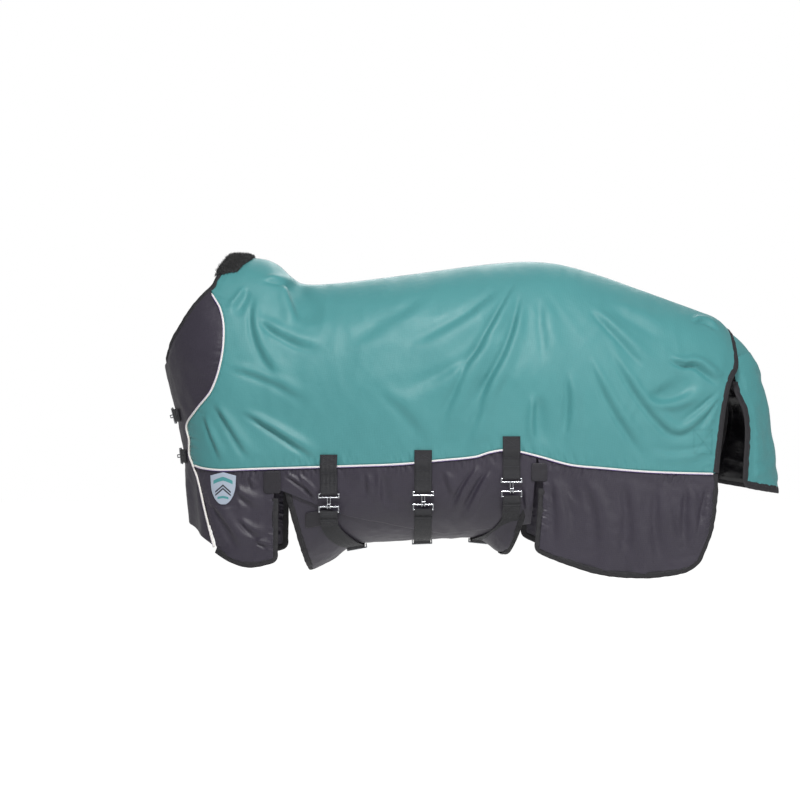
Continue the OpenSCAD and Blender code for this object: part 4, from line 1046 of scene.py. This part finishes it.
a, b = spread((-1, 1, 56), (0, 1, 60))
half = np.where(b < 0.25, 1 - 0.04 * (b / 0.25), 0.96 * np.maximum(0.001, 1 - ((b - 0.25) / 0.75) ** 2) ** 0.55)
peak = (1 - np.abs(a)) * (1 - b) * 0.12
p, n = on_side(CREST_X + a * half * CREST_W / 2, CREST_Z + CREST_H * (0.5 - np.minimum(b, 0.985) + peak))
out = np.maximum(np.abs(a), np.maximum(1 - 11 * b, smooth(0.80, 1, b)))
lift = 1.6 + 1.2 * (0.35 + 0.65 * (1 - out ** 12)) + 0.35 * smooth(0.86, 0.93, out)
crest = sheet_piece("crest_badge", p + n * lift[..., None], p + n * 0.7, crest_weave, NEAR)
layer = crest.data.uv_layers["cloth"]
loops = np.empty(len(crest.data.loops), int)
crest.data.loops.foreach_get("vertex_index", loops)
shares = np.stack([a * half, b], -1).reshape(-1, 2)
layer.data.foreach_set("uv", np.concatenate([shares, shares]).astype(np.float32)[loops].ravel())
settle(crest, "rug", "crest_grey", "crest_patch")

# ---------------------------------------------------------------------------------------------
# Fleece at the wither
# A pad of black acrylic pile folded over the neck edge so that it doesn't rub the mane. The pad
# is swelled with cloth simulation, then covered with tufts of pile.
# ---------------------------------------------------------------------------------------------
FLEECE_T = 12
TUFT_COUNT, TUFT_LENGTH, TUFT_W = 190000.0, 0.0085, 0.0011   # per square metre, and metres
pile, tree, shader = new_material("acrylic_pile_fleece_black")
place = add(tree, "ShaderNodeTexCoord").outputs["Object"]
clump = add(tree, "ShaderNodeTexNoise", {"Vector": place, "Scale": 90, "Detail": 4})
tint = mixed(tree, clump.outputs[0], "#0b0b0d", "#1f1f22")
feed(tree, shader, {"Base Color": tint, "Roughness": 0.92, "Sheen Weight": 0.25, "Sheen Roughness": 0.6})

s, r = spread((0, 1, 30), (-1, 1, 60))
v = 0.222 * np.abs(r)
f, n = body_at(0 * v, v)
g, _ = body_at(0 * v + 0.05, v)
back = unit(g - f)
reach = 58 - 8 * np.abs(r) ** 3
base = f + back * lerp(-BINDING_W - 4, reach, s)[..., None]
flip = np.where(r[..., None] < 0, MIRROR, [1, 1, 1])
full = (1 - np.abs(2 * s - 1) ** 3.2) ** 0.55 * (1 - np.abs(r) ** 6) ** 0.5
outer = (base + n * (1.2 + FLEECE_T * 0.62 * full)[..., None]) * flip
inner = (base + n * (0.9 - 3.5 * smooth(0.22, 0, s))[..., None]) * flip
fleece = sheet_piece("wither_fleece_pad", outer, inner, pile, FAR)
swell = fleece.modifiers.new("even", "REMESH")
swell.mode = "VOXEL"
swell.voxel_size = 0.004
swell.use_smooth_shade = True


def made_plain(piece):
    """Applies a piece's modifiers and gives back the plain piece."""
    graph = bpy.context.evaluated_depsgraph_get()
    mesh = bpy.data.meshes.new_from_object(piece.evaluated_get(graph))
    piece.modifiers.clear()
    old = piece.data
    piece.data = mesh
    bpy.data.meshes.remove(old)
    mesh.name = piece.name
    return piece


made_plain(fleece)
start = np.array([vert.co for vert in fleece.data.vertices])
cloth = fleece.modifiers.new("swell", "CLOTH")
cloth.settings.quality = 5
cloth.settings.use_pressure = True
cloth.settings.uniform_pressure_force = 4
cloth.settings.effector_weights.gravity = 0
cloth.collision_settings.use_collision = False
for step in range(1, 16):
    scene.frame_set(step)
graph = bpy.context.evaluated_depsgraph_get()
swelled = np.array([vert.co for vert in fleece.evaluated_get(graph).data.vertices])
fleece.modifiers.clear()
scene.frame_set(1)
shift = swelled - start
size = np.linalg.norm(shift, axis=1, keepdims=True)
moved = start + shift * np.minimum(1, 0.003 / np.maximum(size, 1e-9))
fleece.data.vertices.foreach_set("co", moved.astype(np.float32).ravel())
for face in fleece.data.polygons:
    face.use_smooth = True


def node_tree(name, *inputs):
    """An empty Geometry Nodes tree with a mesh socket each way and its named inputs."""
    made = bpy.data.node_groups.new(name, "GeometryNodeTree")
    made.interface.new_socket("Geometry", in_out="INPUT", socket_type="NodeSocketGeometry")
    made.interface.new_socket("Geometry", in_out="OUTPUT", socket_type="NodeSocketGeometry")
    sockets = {label: made.interface.new_socket(label, in_out="INPUT", socket_type=kind).identifier
               for label, kind in inputs}
    return made, sockets, made.nodes.new("NodeGroupInput"), made.nodes.new("NodeGroupOutput")


def grown(name, base, tree, sockets, settings):
    """The plain mesh that a tree grows from a base mesh."""
    holder = bpy.data.objects.new(name, base)
    bpy.context.collection.objects.link(holder)
    nodes = holder.modifiers.new("grow", "NODES")
    nodes.node_group = tree
    for label, value in settings.items():
        nodes[sockets[label]] = value
    return made_plain(holder)


pile_tree, pile_inputs, start_node, end_node = node_tree(
    "tufts of pile", ("Tufts per square metre", "NodeSocketFloat"), ("Tuft length", "NodeSocketFloat"),
    ("Tuft width", "NodeSocketFloat"), ("Seed", "NodeSocketInt"), ("Pile", "NodeSocketMaterial"))
spots = add(pile_tree, "GeometryNodeDistributePointsOnFaces",
            {"Mesh": start_node.outputs[0], "Density": start_node.outputs["Tufts per square metre"],
             "Seed": start_node.outputs["Seed"]})
tuft = add(pile_tree, "GeometryNodeMeshCone", {"Vertices": 4, "Side Segments": 3, "Radius Top": 0.0,
                                               "Radius Bottom": start_node.outputs["Tuft width"],
                                               "Depth": start_node.outputs["Tuft length"]}, fill_type="NONE")
curl = add(pile_tree, "GeometryNodeInputPosition").outputs[0]
curl_split = add(pile_tree, "ShaderNodeSeparateXYZ", {0: curl})
squared = calc(pile_tree, "MULTIPLY", curl_split.outputs[2], curl_split.outputs[2])
bent = calc(pile_tree, "MULTIPLY", squared, 70.0)
sideways = add(pile_tree, "ShaderNodeCombineXYZ", {0: bent})
bent_tuft = add(pile_tree, "GeometryNodeSetPosition", {"Geometry": tuft.outputs[0], "Offset": sideways.outputs[0]})
lean = add(pile_tree, "FunctionNodeRandomValue", {0: (-0.7, -0.7, -3.14), 1: (0.7, 0.7, 3.14),
                                                  "Seed": start_node.outputs["Seed"]}, data_type="FLOAT_VECTOR")
stand_up = add(pile_tree, "FunctionNodeRotateRotation", {0: spots.outputs["Rotation"], 1: lean.outputs[0]},
               rotation_space="LOCAL")
grow = add(pile_tree, "FunctionNodeRandomValue", {2: 0.6, 3: 1.25}, data_type="FLOAT")
placed = add(pile_tree, "GeometryNodeInstanceOnPoints", {"Points": spots.outputs[0], "Instance": bent_tuft.outputs[0],
                                                         "Rotation": stand_up.outputs[0], "Scale": grow.outputs[1]})
real = add(pile_tree, "GeometryNodeRealizeInstances", {0: placed.outputs[0]})
both = add(pile_tree, "GeometryNodeJoinGeometry")
pile_tree.links.new(real.outputs[0], both.inputs[0])
pile_tree.links.new(start_node.outputs[0], both.inputs[0])
finish = add(pile_tree, "GeometryNodeSetMaterial",
             {"Geometry": both.outputs[0], "Material": start_node.outputs["Pile"]})
pile_tree.links.new(finish.outputs[0], end_node.inputs[0])
pad_mesh = fleece.data.copy()
bpy.data.objects.remove(fleece)
fleece = grown("wither_fleece", pad_mesh, pile_tree, pile_inputs,
               {"Tufts per square metre": TUFT_COUNT, "Tuft length": TUFT_LENGTH, "Tuft width": TUFT_W, "Seed": 7,
                "Pile": pile})
settle(fleece, "rug", "fleece_black", "wither_fleece")

# ---------------------------------------------------------------------------------------------
# Belly straps
# 50 mm black polypropylene webbing. The upper parts are doubled and sewn over the piping; the
# lower parts run from the keepers under the belly through a slider to the far side.
# ---------------------------------------------------------------------------------------------
STRAP_TOP = [-516, -502, -463]
BAR_Z = [-630, -622, -584]
HOOK_REACH, BEND_R, KEEPER_H, WIRE_D = 34, 6, 14, 4
WEBBING_T = 1.8
PLY_GAP = 0.3
LOOP_R = WIRE_D / 2 + 2 * PLY_GAP + WEBBING_T / 2
STAND = WEBBING_T / 2 + 1.5 * PLY_GAP
OVER = PIPING_D + 2 * PLY_GAP
BEND_MID = BEND_R + WIRE_D * 0.375
KEEPER_DROP = HOOK_REACH + BEND_R - WIRE_D / 2 - 2
STRAP_NAMES = ["front", "middle", "rear"]

webbing, tree, shader = new_material("woven_polypropylene_webbing_black")
uv = add(tree, "ShaderNodeUVMap", uv_map="cloth").outputs[0]
split = add(tree, "ShaderNodeSeparateXYZ", {0: uv})
# Herringbone: ribs 2.2 mm apart that turn back every 6 mm across
zig = calc(tree, "PINGPONG", split.outputs[1], 0.006)
run = calc(tree, "ADD", split.outputs[0], zig)
ribs = calc(tree, "MULTIPLY", run, 2 * math.pi / 0.0022)
ribs = calc(tree, "SINE", ribs)
warp = calc(tree, "MULTIPLY", split.outputs[1], 2 * math.pi / 0.0015)
warp = calc(tree, "SINE", warp)
woven = calc(tree, "MULTIPLY_ADD", warp, 0.35, ribs)
fuzz = add(tree, "ShaderNodeTexNoise", {"Vector": uv, "Scale": 60, "Detail": 5})
level_share = add(tree, "ShaderNodeMapRange", {0: woven, 1: -1.2, 2: 1.2}).outputs[0]
# Painted shade and highlight: the webbing's colour is darker in the grooves between the ribs and lighter on the raised
# ribs, following the rib height. Random fuzz over it stands for wear.
groove_shade = mixed(tree, level_share, "#131316", "#2d2d32")
wear_and_groove_shade = mixed(tree, fuzz.outputs[0], groove_shade, "#232327")
rough = add(tree, "ShaderNodeMapRange", {0: level_share, 3: 0.68, 4: 0.5})
bump = add(tree, "ShaderNodeBump", {"Height": woven, "Distance": 0.0003, "Strength": 0.7})
feed(tree, shader, {"Base Color": wear_and_groove_shade, "Roughness": rough.outputs[0], "Normal": bump.outputs[0]})


def webbing_outline(wide, thick=WEBBING_T):
    """Flat outline of webbing with round edges, a little thicker in the edge cords."""
    t = np.linspace(-1, 1, 13)
    x = wide / 2 * np.sign(t) * np.abs(t) ** 0.85
    y = thick / 2 * (1 - 0.55 * np.abs(t) ** 14) * (0.92 + 0.08 * np.cos(9 * np.pi * t))
    return np.concatenate([np.stack([x, y], -1), np.stack([x[::-1], -y[::-1]], -1)])


def off(f, d):
    return f[0] + f[1] * np.asarray(d, float)[..., None]


def even_path(parts):
    """One path with normals through parts, evenly spaced and gently rounded."""
    return softened(*resample(np.concatenate([np.atleast_2d(a) for a, _ in parts]),
                              np.concatenate([np.broadcast_to(b, np.atleast_2d(a).shape) for a, b in parts])), 5)


def bar_place(k):
    f = on_side(STRAP_X[k], BAR_Z[k], 1)
    return f[0] - [0, LOOP_R + STAND + 3, 0]


def lift_over(d):
    return OVER * np.maximum(0, 1 - np.abs(d / 26) ** 2) ** 1.5


def half_turn(c, a, b, count=17):
    t = np.radians(np.linspace(a, b, count))
    d = np.stack([0 * t, -np.cos(t), np.sin(t)], -1)
    return c + d * LOOP_R, d


def box_stitch(p, n, first, last, strap_wide, cross=True):
    """Stitch lines of a sewn box with a cross, on a strap between two places along it."""
    half, height = strap_wide / 2 - 4, WEBBING_T / 2 + 0.3
    q, m, w = along(p, n)
    length = path_length(q)
    s = np.linspace(first, last, 24)
    at = np.stack([np.interp(s, length, q[:, k]) for k in range(3)], -1)
    up = unit(np.stack([np.interp(s, length, m[:, k]) for k in range(3)], -1))
    wide = unit(np.stack([np.interp(s, length, w[:, k]) for k in range(3)], -1))
    lines = [at + wide * side for side in (-half, half)]
    if cross:
        lines += [at + wide * np.linspace(-turn, turn, 24)[:, None] for turn in (half, -half)]
    ends = [(at[k] + wide[k] * np.linspace(-half, half, 16)[:, None], up[k]) for k in (0, -1)]
    stitch_lines["rug"] += [(line + up * height, up) for line in lines]
    stitch_lines["rug"] += [(line + one * height, np.broadcast_to(one, line.shape)) for line, one in ends]


for k, name in enumerate(STRAP_NAMES):
    c = bar_place(k)
    seam = curve(SEAM_LINE, STRAP_X[k])
    z = np.linspace(STRAP_TOP[k], BAR_Z[k] + 22, 50)
    f = on_side(np.full_like(z, STRAP_X[k]), z, 1)
    down = (off(f, STAND + WEBBING_T + PLY_GAP + lift_over(z - seam)), f[1])
    z2 = np.linspace(BAR_Z[k] + 18, BAR_Z[k] + 44, 10)
    g = on_side(np.full_like(z2, STRAP_X[k]), z2, 1)
    p, n = even_path([down, half_turn(c, 0, -180), (off(g, np.full_like(z2, STAND)), -g[1])])
    strap = bar_along(f"upper_strap_{name}", p, n, webbing_outline(STRAP_W), webbing)
    settle(strap, "rug", "webbing_black", f"upper_strap_{name}")
    box_stitch(p, n, 4, float(STRAP_TOP[k] - seam) - 9, STRAP_W)
    low = float(STRAP_TOP[k] - BAR_Z[k]) - 34
    box_stitch(p, n, low - 26, low, STRAP_W, cross=False)

WRAP_OUT = -SKIRT_T - WRAP_ROOM
STRAP_EASE = [2, 0.5, 3]
SLIDER_L, SLIDER_H, SLIDER_D, SLIDER_TRAVEL = 26, 7, 3, 20
FLAT_Z = SLIDER_H / 2 + SLIDER_D - STAND + 3.5
FLAT_HALF = SLIDER_L / 2 + SLIDER_D + SLIDER_TRAVEL + 3


def strap_off(k, a):
    b = np.minimum(a, 180 - a)
    return lerp(STAND, WRAP_OUT + STAND, np.clip((b - 60) / 25, 0, 1)) + STRAP_EASE[k] * np.sin(np.radians(b))


for k, name in enumerate(STRAP_NAMES):
    c = bar_place(k) - [0, BEND_MID, KEEPER_DROP + KEEPER_H]
    fold = (c + np.array([[0, LOOP_R + 0.4, -30], [0, LOOP_R, -4]]), np.array([0, 1, 0.02]))
    a = np.linspace(33, 172, 240)
    x = lerp(STRAP_X[k], UNDER_X[k], np.sin(np.radians(np.minimum(90, 90 * (a - 33) / 55))) ** 1.2)
    f = on_belly(x, a)
    p = off(f, strap_off(k, a))
    under = on_belly(UNDER_X[k], 90)
    place = off(under, strap_off(k, 90) + FLAT_Z)
    flat = smooth(FLAT_HALF + 8, FLAT_HALF, np.abs(p[:, 1]))[:, None]
    p[:, 2:] = lerp(p[:, 2:], place[2], flat)
    n = unit(lerp(f[1], under[1], flat))
    p, n = even_path([fold, half_turn(c, 180, 0), (c + [0, -LOOP_R, -16], np.array([0, -1, 0])), (p, n)])
    strap = bar_along(f"belly_strap_{name}", p, n, webbing_outline(STRAP_W), webbing)
    settle(strap, "rug", "webbing_black", f"belly_strap_{name}")
    box_stitch(p, n, 62, 98, STRAP_W)

# ---------------------------------------------------------------------------------------------
# Chest straps
# 38 mm webbing sewn flat to the shoulder panels: the near pieces turn round the hooks, the far
# pieces round the keepers.
# ---------------------------------------------------------------------------------------------
CHEST_W = 38
HOOK_Y = -22
CHEST_STAND = STAND + WEBBING_T + 3 * PLY_GAP


def chest_turn(out, c, a, b):
    t = np.radians(np.linspace(a, b, 17))[:, None]
    d = out * np.cos(t) + np.array([0, -1, 0]) * np.sin(t)
    return c + d * LOOP_R, d


for k, name in enumerate(("upper", "lower")):
    z = CHEST_Z[k]
    out = on_chest(0, z)[1]
    c = off(on_chest(HOOK_Y, z), LOOP_R + STAND + 3)
    y = np.linspace(-112, HOOK_Y - 24, 40)
    f = on_chest(y, z)
    g = on_chest(np.linspace(HOOK_Y - 20, HOOK_Y - 48, 12), z)
    p, n = even_path([(off(f, np.full(40, CHEST_STAND)), f[1]), chest_turn(out, c, 0, -180),
                      (off(g, np.full(12, STAND)), -g[1])])
    strap = bar_along(f"chest_strap_{name}", p, n, webbing_outline(CHEST_W), webbing)
    settle(strap, "rug", "webbing_black", f"chest_strap_{name}")
    box_stitch(p, n, 5, 42, CHEST_W)
    c = c + out * BEND_MID + [0, KEEPER_DROP + KEEPER_H, 0]
    fold = (c - out * LOOP_R + np.array([[0, 30, 0], [0, 4, 0]]), -out)
    f = on_chest(np.linspace(c[1] + 40, 112, 30), z)
    p, n = even_path([fold, chest_turn(out, c, 180, 0), (c + out * LOOP_R + [0, 16, 0], out),
                      (off(f, np.full(30, STAND)), f[1])])
    strap = bar_along(f"chest_tab_{name}", p, n, webbing_outline(CHEST_W), webbing)
    settle(strap, "rug", "webbing_black", f"chest_tab_{name}")
    total = path_length(p)[-1]
    box_stitch(p, n, total - 36, total - 4, CHEST_W)

# ---------------------------------------------------------------------------------------------
# Leg-strap tabs
# Short loops of 25 mm webbing inside the tail corners that hold the leg-strap rings.
# ---------------------------------------------------------------------------------------------
RING_X, RING_Z, TAB_W = 872, -515, 25
TAB_IN = SANDWICH_T + STAND + 2.4
f = on_side(RING_X, RING_Z)
turn = math.atan2(f[1][0], -f[1][1])
spin = np.array([[math.cos(turn), -math.sin(turn), 0], [math.sin(turn), math.cos(turn), 0], [0, 0, 1]])
for side, side_name in SIDES:
    parts = [(np.array([[0, -LOOP_R, 62], [0, -LOOP_R, 36], [0, -LOOP_R, 10]]), np.array([0, -1, 0])),
             half_turn(np.zeros(3), 0, -180),
             (np.array([[0, LOOP_R, 14], [0, WEBBING_T + PLY_GAP - LOOP_R, 32], [0, WEBBING_T + PLY_GAP - LOOP_R, 50]]),
              np.array([0, 1, 0]))]
    parts = [((a + [0, TAB_IN + LOOP_R, 0]) @ spin.T + f[0], np.broadcast_to(b, np.atleast_2d(a).shape) @ spin.T)
             for a, b in parts]
    p, n = even_path(parts)
    tab = bar_along(f"leg_strap_tab_{side_name}", p, n, webbing_outline(TAB_W), webbing, side)
    settle(tab, "rug", "webbing_black", "leg_strap_tabs")

# ---------------------------------------------------------------------------------------------
# Hooks, keepers, sliders and rings
# Bent and welded steel wire, polished and chromium plated: bright and mirror-like, with faint
# drawing lines from the wire and small dull spots at the welds.
# ---------------------------------------------------------------------------------------------
chrome, tree, shader = new_material("chromium_plated_steel_wire")
place = add(tree, "ShaderNodeTexCoord").outputs["Object"]
spots = add(tree, "ShaderNodeTexNoise", {"Vector": place, "Scale": 160, "Detail": 4})
tint = mixed(tree, spots.outputs[0], "#d8dade", "#c3c6cb")
rough = add(tree, "ShaderNodeMapRange", {0: spots.outputs[0], 1: 0.3, 2: 0.75, 3: 0.12, 4: 0.32})
drawn = add(tree, "ShaderNodeTexNoise", {"Vector": place, "Scale": 900, "Detail": 2})
bump = add(tree, "ShaderNodeBump", {"Height": drawn.outputs[0], "Distance": 0.0001, "Strength": 0.15})
feed(tree, shader, {"Base Color": tint, "Roughness": rough.outputs[0], "Normal": bump.outputs[0],
                    "Metallic": 1.0})
for name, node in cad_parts.items():
    if name.startswith(("strap_hook", "strap_keeper", "strap_slider", "chest_hook", "chest_keeper", "leg_strap_ring")):
        for index in range(len(node.material_slots)):
            node.material_slots[index].material = chrome

# ---------------------------------------------------------------------------------------------
# Tail yoke and tail flap
# A narrow teal yoke carries the flap's seam behind the tail edge. The flap is teal ripstop over
# a shiny black lining, bound in black down both sides and along the hem.
# ---------------------------------------------------------------------------------------------
FLAP_X = [(0, 1046), (0.15, 1072), (0.4, 1096), (0.7, 1116), (1, 1131)]
FLAP_Z = [(0, -214), (0.15, -262), (0.4, -366), (0.7, -506), (1, -640)]
FLAP_EDGE_X = [(0, 974), (0.08, 970), (0.2, 967), (0.32, 974), (0.45, 1002), (0.65, 1016), (1, 1020)]
FLAP_EDGE_Z = [(0, -236), (0.08, -260), (0.2, -298), (0.32, -340), (0.45, -398), (0.65, -480), (1, -610)]
FLAP_TOP_HALF, FLAP_LOW_HALF, FLAP_P, FLAP_T = 96, 190, 2.2, 3
FLAP_INSET, FLAP_HEM = 0.93, 0.97   # shares of its half width and its drop that the cloth reaches


def flap_point(u, v):
    c = np.abs(u) ** FLAP_P
    w = lerp(FLAP_TOP_HALF, FLAP_LOW_HALF, v ** 0.6)
    swung = 30 * smooth(0.3, 1, np.abs(u)) * smooth(0.3, 1, v) + 26 * smooth(0.3, 1, u) * smooth(0.25, 0.9, v)
    return np.stack([lerp(curve(FLAP_X, v), curve(FLAP_EDGE_X, v), c) - swung, u * w,
                     lerp(curve(FLAP_Z, v), curve(FLAP_EDGE_Z, v), c)], -1)


def flap_at(u, v):
    e = 0.01
    u, v = np.broadcast_arrays(np.asarray(u, float), np.asarray(v, float))
    a = flap_point(u, np.minimum(v + e, 1)) - flap_point(u, np.maximum(v - e, 0))
    b = flap_point(u + e, v) - flap_point(u - e, v)
    return flap_point(u, v), unit(np.cross(a, b))


def flap_relief(u, v):
    """Soft upright folds of the flap, gathered beside its binding."""
    side = np.minimum(1 - np.abs(u) / FLAP_INSET, 1)
    folds = 3.5 * np.sin(9 * u + 2.2 * np.sin(2.3 * v + 0.5) + 0.8) * smooth(0.1, 0.8, v)
    folds = folds + 2.4 * crumple(u * 170, v * 430, 131, 60, 1.2) + 0.8 * crumple(u * 170, v * 430, 132, 26)
    folds = folds * smooth(0, 0.14, side) * smooth(0, 0.2, v) * (0.35 + 0.65 * smooth(0, 0.1, 1 - v))
    under_tape = smooth(0.07, 0.17, side) * smooth(0.055, 0.1, 1 - v)
    return np.clip((folds + 0.7 * puckers(v * 430, side * 170, 133, 23, 44)) * under_tape, -5, 6)


u, v = spread((FLAP_INSET, -FLAP_INSET, 150), (0.012, FLAP_HEM, 190))
p, n = flap_at(u, v)
d = flap_relief(u, v)
flap = cloth_piece("tail_flap_cloth", p, n, d, 1.2, teal_ripstop)
settle(flap, "tail_flap", "ripstop_teal", "tail_flap")

shiny_lining = smooth_nylon("calendered_nylon_lining_black", "#0b0b0e", "#121216", 0.22)
slack = smooth(0, 0.06, 1 - v) * smooth(0, 0.05, v) * smooth(0, 0.1, 1 - np.abs(u) / FLAP_INSET)
d2 = -2.4 - slack * (6 + 2.2 * crumple(u * 150, v * 300, 141, 52, 1.0) + 0.9 * crumple(u * 170, v * 430, 142, 22, 1.0))
d2 = np.minimum(d2, d - 1.5)
lining = cloth_piece("tail_flap_lining", p, n, d2, 0.8, shiny_lining)
settle(lining, "tail_flap", "lining_nylon", "tail_flap")

down = np.linspace(0.23, FLAP_HEM, 100)
edge = [flap_at(np.full_like(down, -FLAP_INSET), down),
        flap_at(np.linspace(-FLAP_INSET, FLAP_INSET, 110)[1:-1], FLAP_HEM),
        flap_at(np.full_like(down, FLAP_INSET), down[::-1])]
p, n = joined(*edge)
bind_edge("tail_flap_binding", p, n, 1, FLAP_T, 29, ["tail_flap_binding"], body="tail_flap", overlap=TAIL_OVERLAP)

u, s = spread((-1, 1, 130), (0, 1, 26))
top_v = 0.36 * np.abs(u)
b, bn = body_at(np.ones_like(u), top_v)
b0, _ = body_at(np.full_like(u, 0.97), top_v)
flip = np.where(u[..., None] > 0, MIRROR, [1, 1, 1])
high = (b + unit(b - b0) * 6 - bn * 3.5) * flip
low, low_n = flap_at(u * FLAP_INSET, 0.02)
low = low - low_n * 1.2
p = lerp(high, low, s[..., None])
n = unit(np.cross(np.gradient(p, axis=0), np.gradient(p, axis=1)))
n = n * np.sign(np.sum(n * (p - [900, 0, -330]), -1, keepdims=True))
bulge = np.sin(np.pi * s) * (1 - np.abs(u) ** 2)
d = 4.5 * bulge + 0.8 * crumple(p[..., 1], p[..., 0] * 1.5, 151, 30) * bulge
yoke = cloth_piece("tail_yoke_cloth", p, n, d, 1.6, teal_ripstop, FAR)
settle(yoke, "rug", "ripstop_teal", "tail_yoke")

# ---------------------------------------------------------------------------------------------
# Stitching
# Bonded nylon thread: lock stitches 3.2 mm long every 4.2 mm, in black on the trims and straps,
# and in teal on the sewn box over the leg-strap tab, the spine seam and beside the piping.
# ---------------------------------------------------------------------------------------------
def thread(name, colour):
    """Bonded nylon thread: smooth and slightly shiny, twisted from three plies."""
    made, tree, shader = new_material(name)
    place = add(tree, "ShaderNodeTexCoord").outputs["Object"]
    plies = add(tree, "ShaderNodeTexNoise", {"Vector": place, "Scale": 1500, "Detail": 1})
    amount = calc(tree, "MULTIPLY", plies.outputs[0], 0.3)
    tint = mixed(tree, amount, colour, "#202024")
    feed(tree, shader, {"Base Color": tint, "Roughness": 0.42})
    return made


LEG_SQUARE = 844, 898, -447, -516   # the sewn box: its front, rear, top and foot
STITCH_PITCH, STITCH_LENGTH, THREAD_R = 0.0042, 0.0032, 0.0006   # metres
teal_lines = []
for side, _, seed in HALVES:
    flip = [1, -side, 1]

    def on_cloth(x, z, height=0.5):
        """Points on the slack outer cloth at places on the near side, turned to this side."""
        p, n = on_side(x, z)
        d = body_relief(p, np.ones_like(p[..., 0]), seed)
        return (p + n * (d + height)[..., None]) * flip, n * flip
    x0, x1, z0, z1 = LEG_SQUARE
    t = np.linspace(0, 1, 26)
    corners = [(x0, z0), (x1, z0), (x1, z1), (x0, z1), (x0, z0), (x1, z1)]
    for (xa, za), (xb, zb) in list(zip(corners[:-1], corners[1:])) + [((x1, z0), (x0, z1))]:
        teal_lines.append(on_cloth(lerp(xa, xb, t), lerp(za, zb, t)))
    x = np.linspace(-596, 900, 500)
    teal_lines.append(on_cloth(x, curve(SEAM_LINE, x) + 6.5))
    z = np.linspace(-70, -560, 200)
    teal_lines.append(on_cloth(curve(FRONT_LINE, z) + 6.5, z))
spine_u = np.linspace(0.03, 0.985, 400)
for side in (NEAR, FAR):
    p, n = body_at(spine_u, np.full_like(spine_u, 0.008))
    teal_lines.append(((p + n * 0.5) * [1, -side, 1], n * [1, -side, 1]))

stitch_tree, stitch_inputs, start_node, end_node = node_tree(
    "lock stitches", ("Stitch pitch", "NodeSocketFloat"), ("Stitch length", "NodeSocketFloat"),
    ("Thread radius", "NodeSocketFloat"), ("Thread", "NodeSocketMaterial"))
path = add(stitch_tree, "GeometryNodeMeshToCurve", {"Mesh": start_node.outputs[0]})
spaced = add(stitch_tree, "GeometryNodeResampleCurve", {"Curve": path.outputs[0],
                                                        "Length": start_node.outputs["Stitch pitch"]}, mode="LENGTH")
bead = add(stitch_tree, "GeometryNodeMeshUVSphere", {"Segments": 5, "Rings": 4, "Radius": 1.0})
half_length = calc(stitch_tree, "MULTIPLY", start_node.outputs["Stitch length"], 0.5)
shape = add(stitch_tree, "ShaderNodeCombineXYZ", {0: start_node.outputs["Thread radius"],
                                                  1: start_node.outputs["Thread radius"], 2: half_length})
heading = add(stitch_tree, "GeometryNodeInputTangent")
turned = add(stitch_tree, "FunctionNodeAlignRotationToVector", {"Vector": heading.outputs[0]}, axis="Z")
sewn = add(stitch_tree, "GeometryNodeInstanceOnPoints", {"Points": spaced.outputs[0], "Instance": bead.outputs[0],
                                                         "Rotation": turned.outputs[0], "Scale": shape.outputs[0]})
real = add(stitch_tree, "GeometryNodeRealizeInstances", {0: sewn.outputs[0]})
finish = add(stitch_tree, "GeometryNodeSetMaterial",
             {"Geometry": real.outputs[0], "Material": start_node.outputs["Thread"]})
stitch_tree.links.new(finish.outputs[0], end_node.inputs[0])


def sew(name, lines, finish, body, slot):
    """A piece of stitches along lines of points in millimetres."""
    verts, edges = [], []
    for line, _ in lines:
        first = len(verts)
        verts += (np.asarray(line, float) / 1000).tolist()
        edges += [(first + i, first + i + 1) for i in range(len(line) - 1)]
    base = bpy.data.meshes.new(name)
    base.from_pydata(verts, edges, [])
    piece = grown(name, base, stitch_tree, stitch_inputs, {"Stitch pitch": STITCH_PITCH, "Thread": finish,
                                                          "Stitch length": STITCH_LENGTH, "Thread radius": THREAD_R})
    settle(piece, body, slot)


black_thread = thread("bonded_nylon_thread_black", "#3b3942")
teal_thread = thread("bonded_nylon_thread_teal", "#3d8688")
sew("stitches_black", stitch_lines["rug"], black_thread, "rug", "binding_black")
sew("stitches_tail_flap", stitch_lines["tail_flap"], black_thread, "tail_flap", "binding_black")
sew("stitches_teal", teal_lines, teal_thread, "rug", "ripstop_teal")
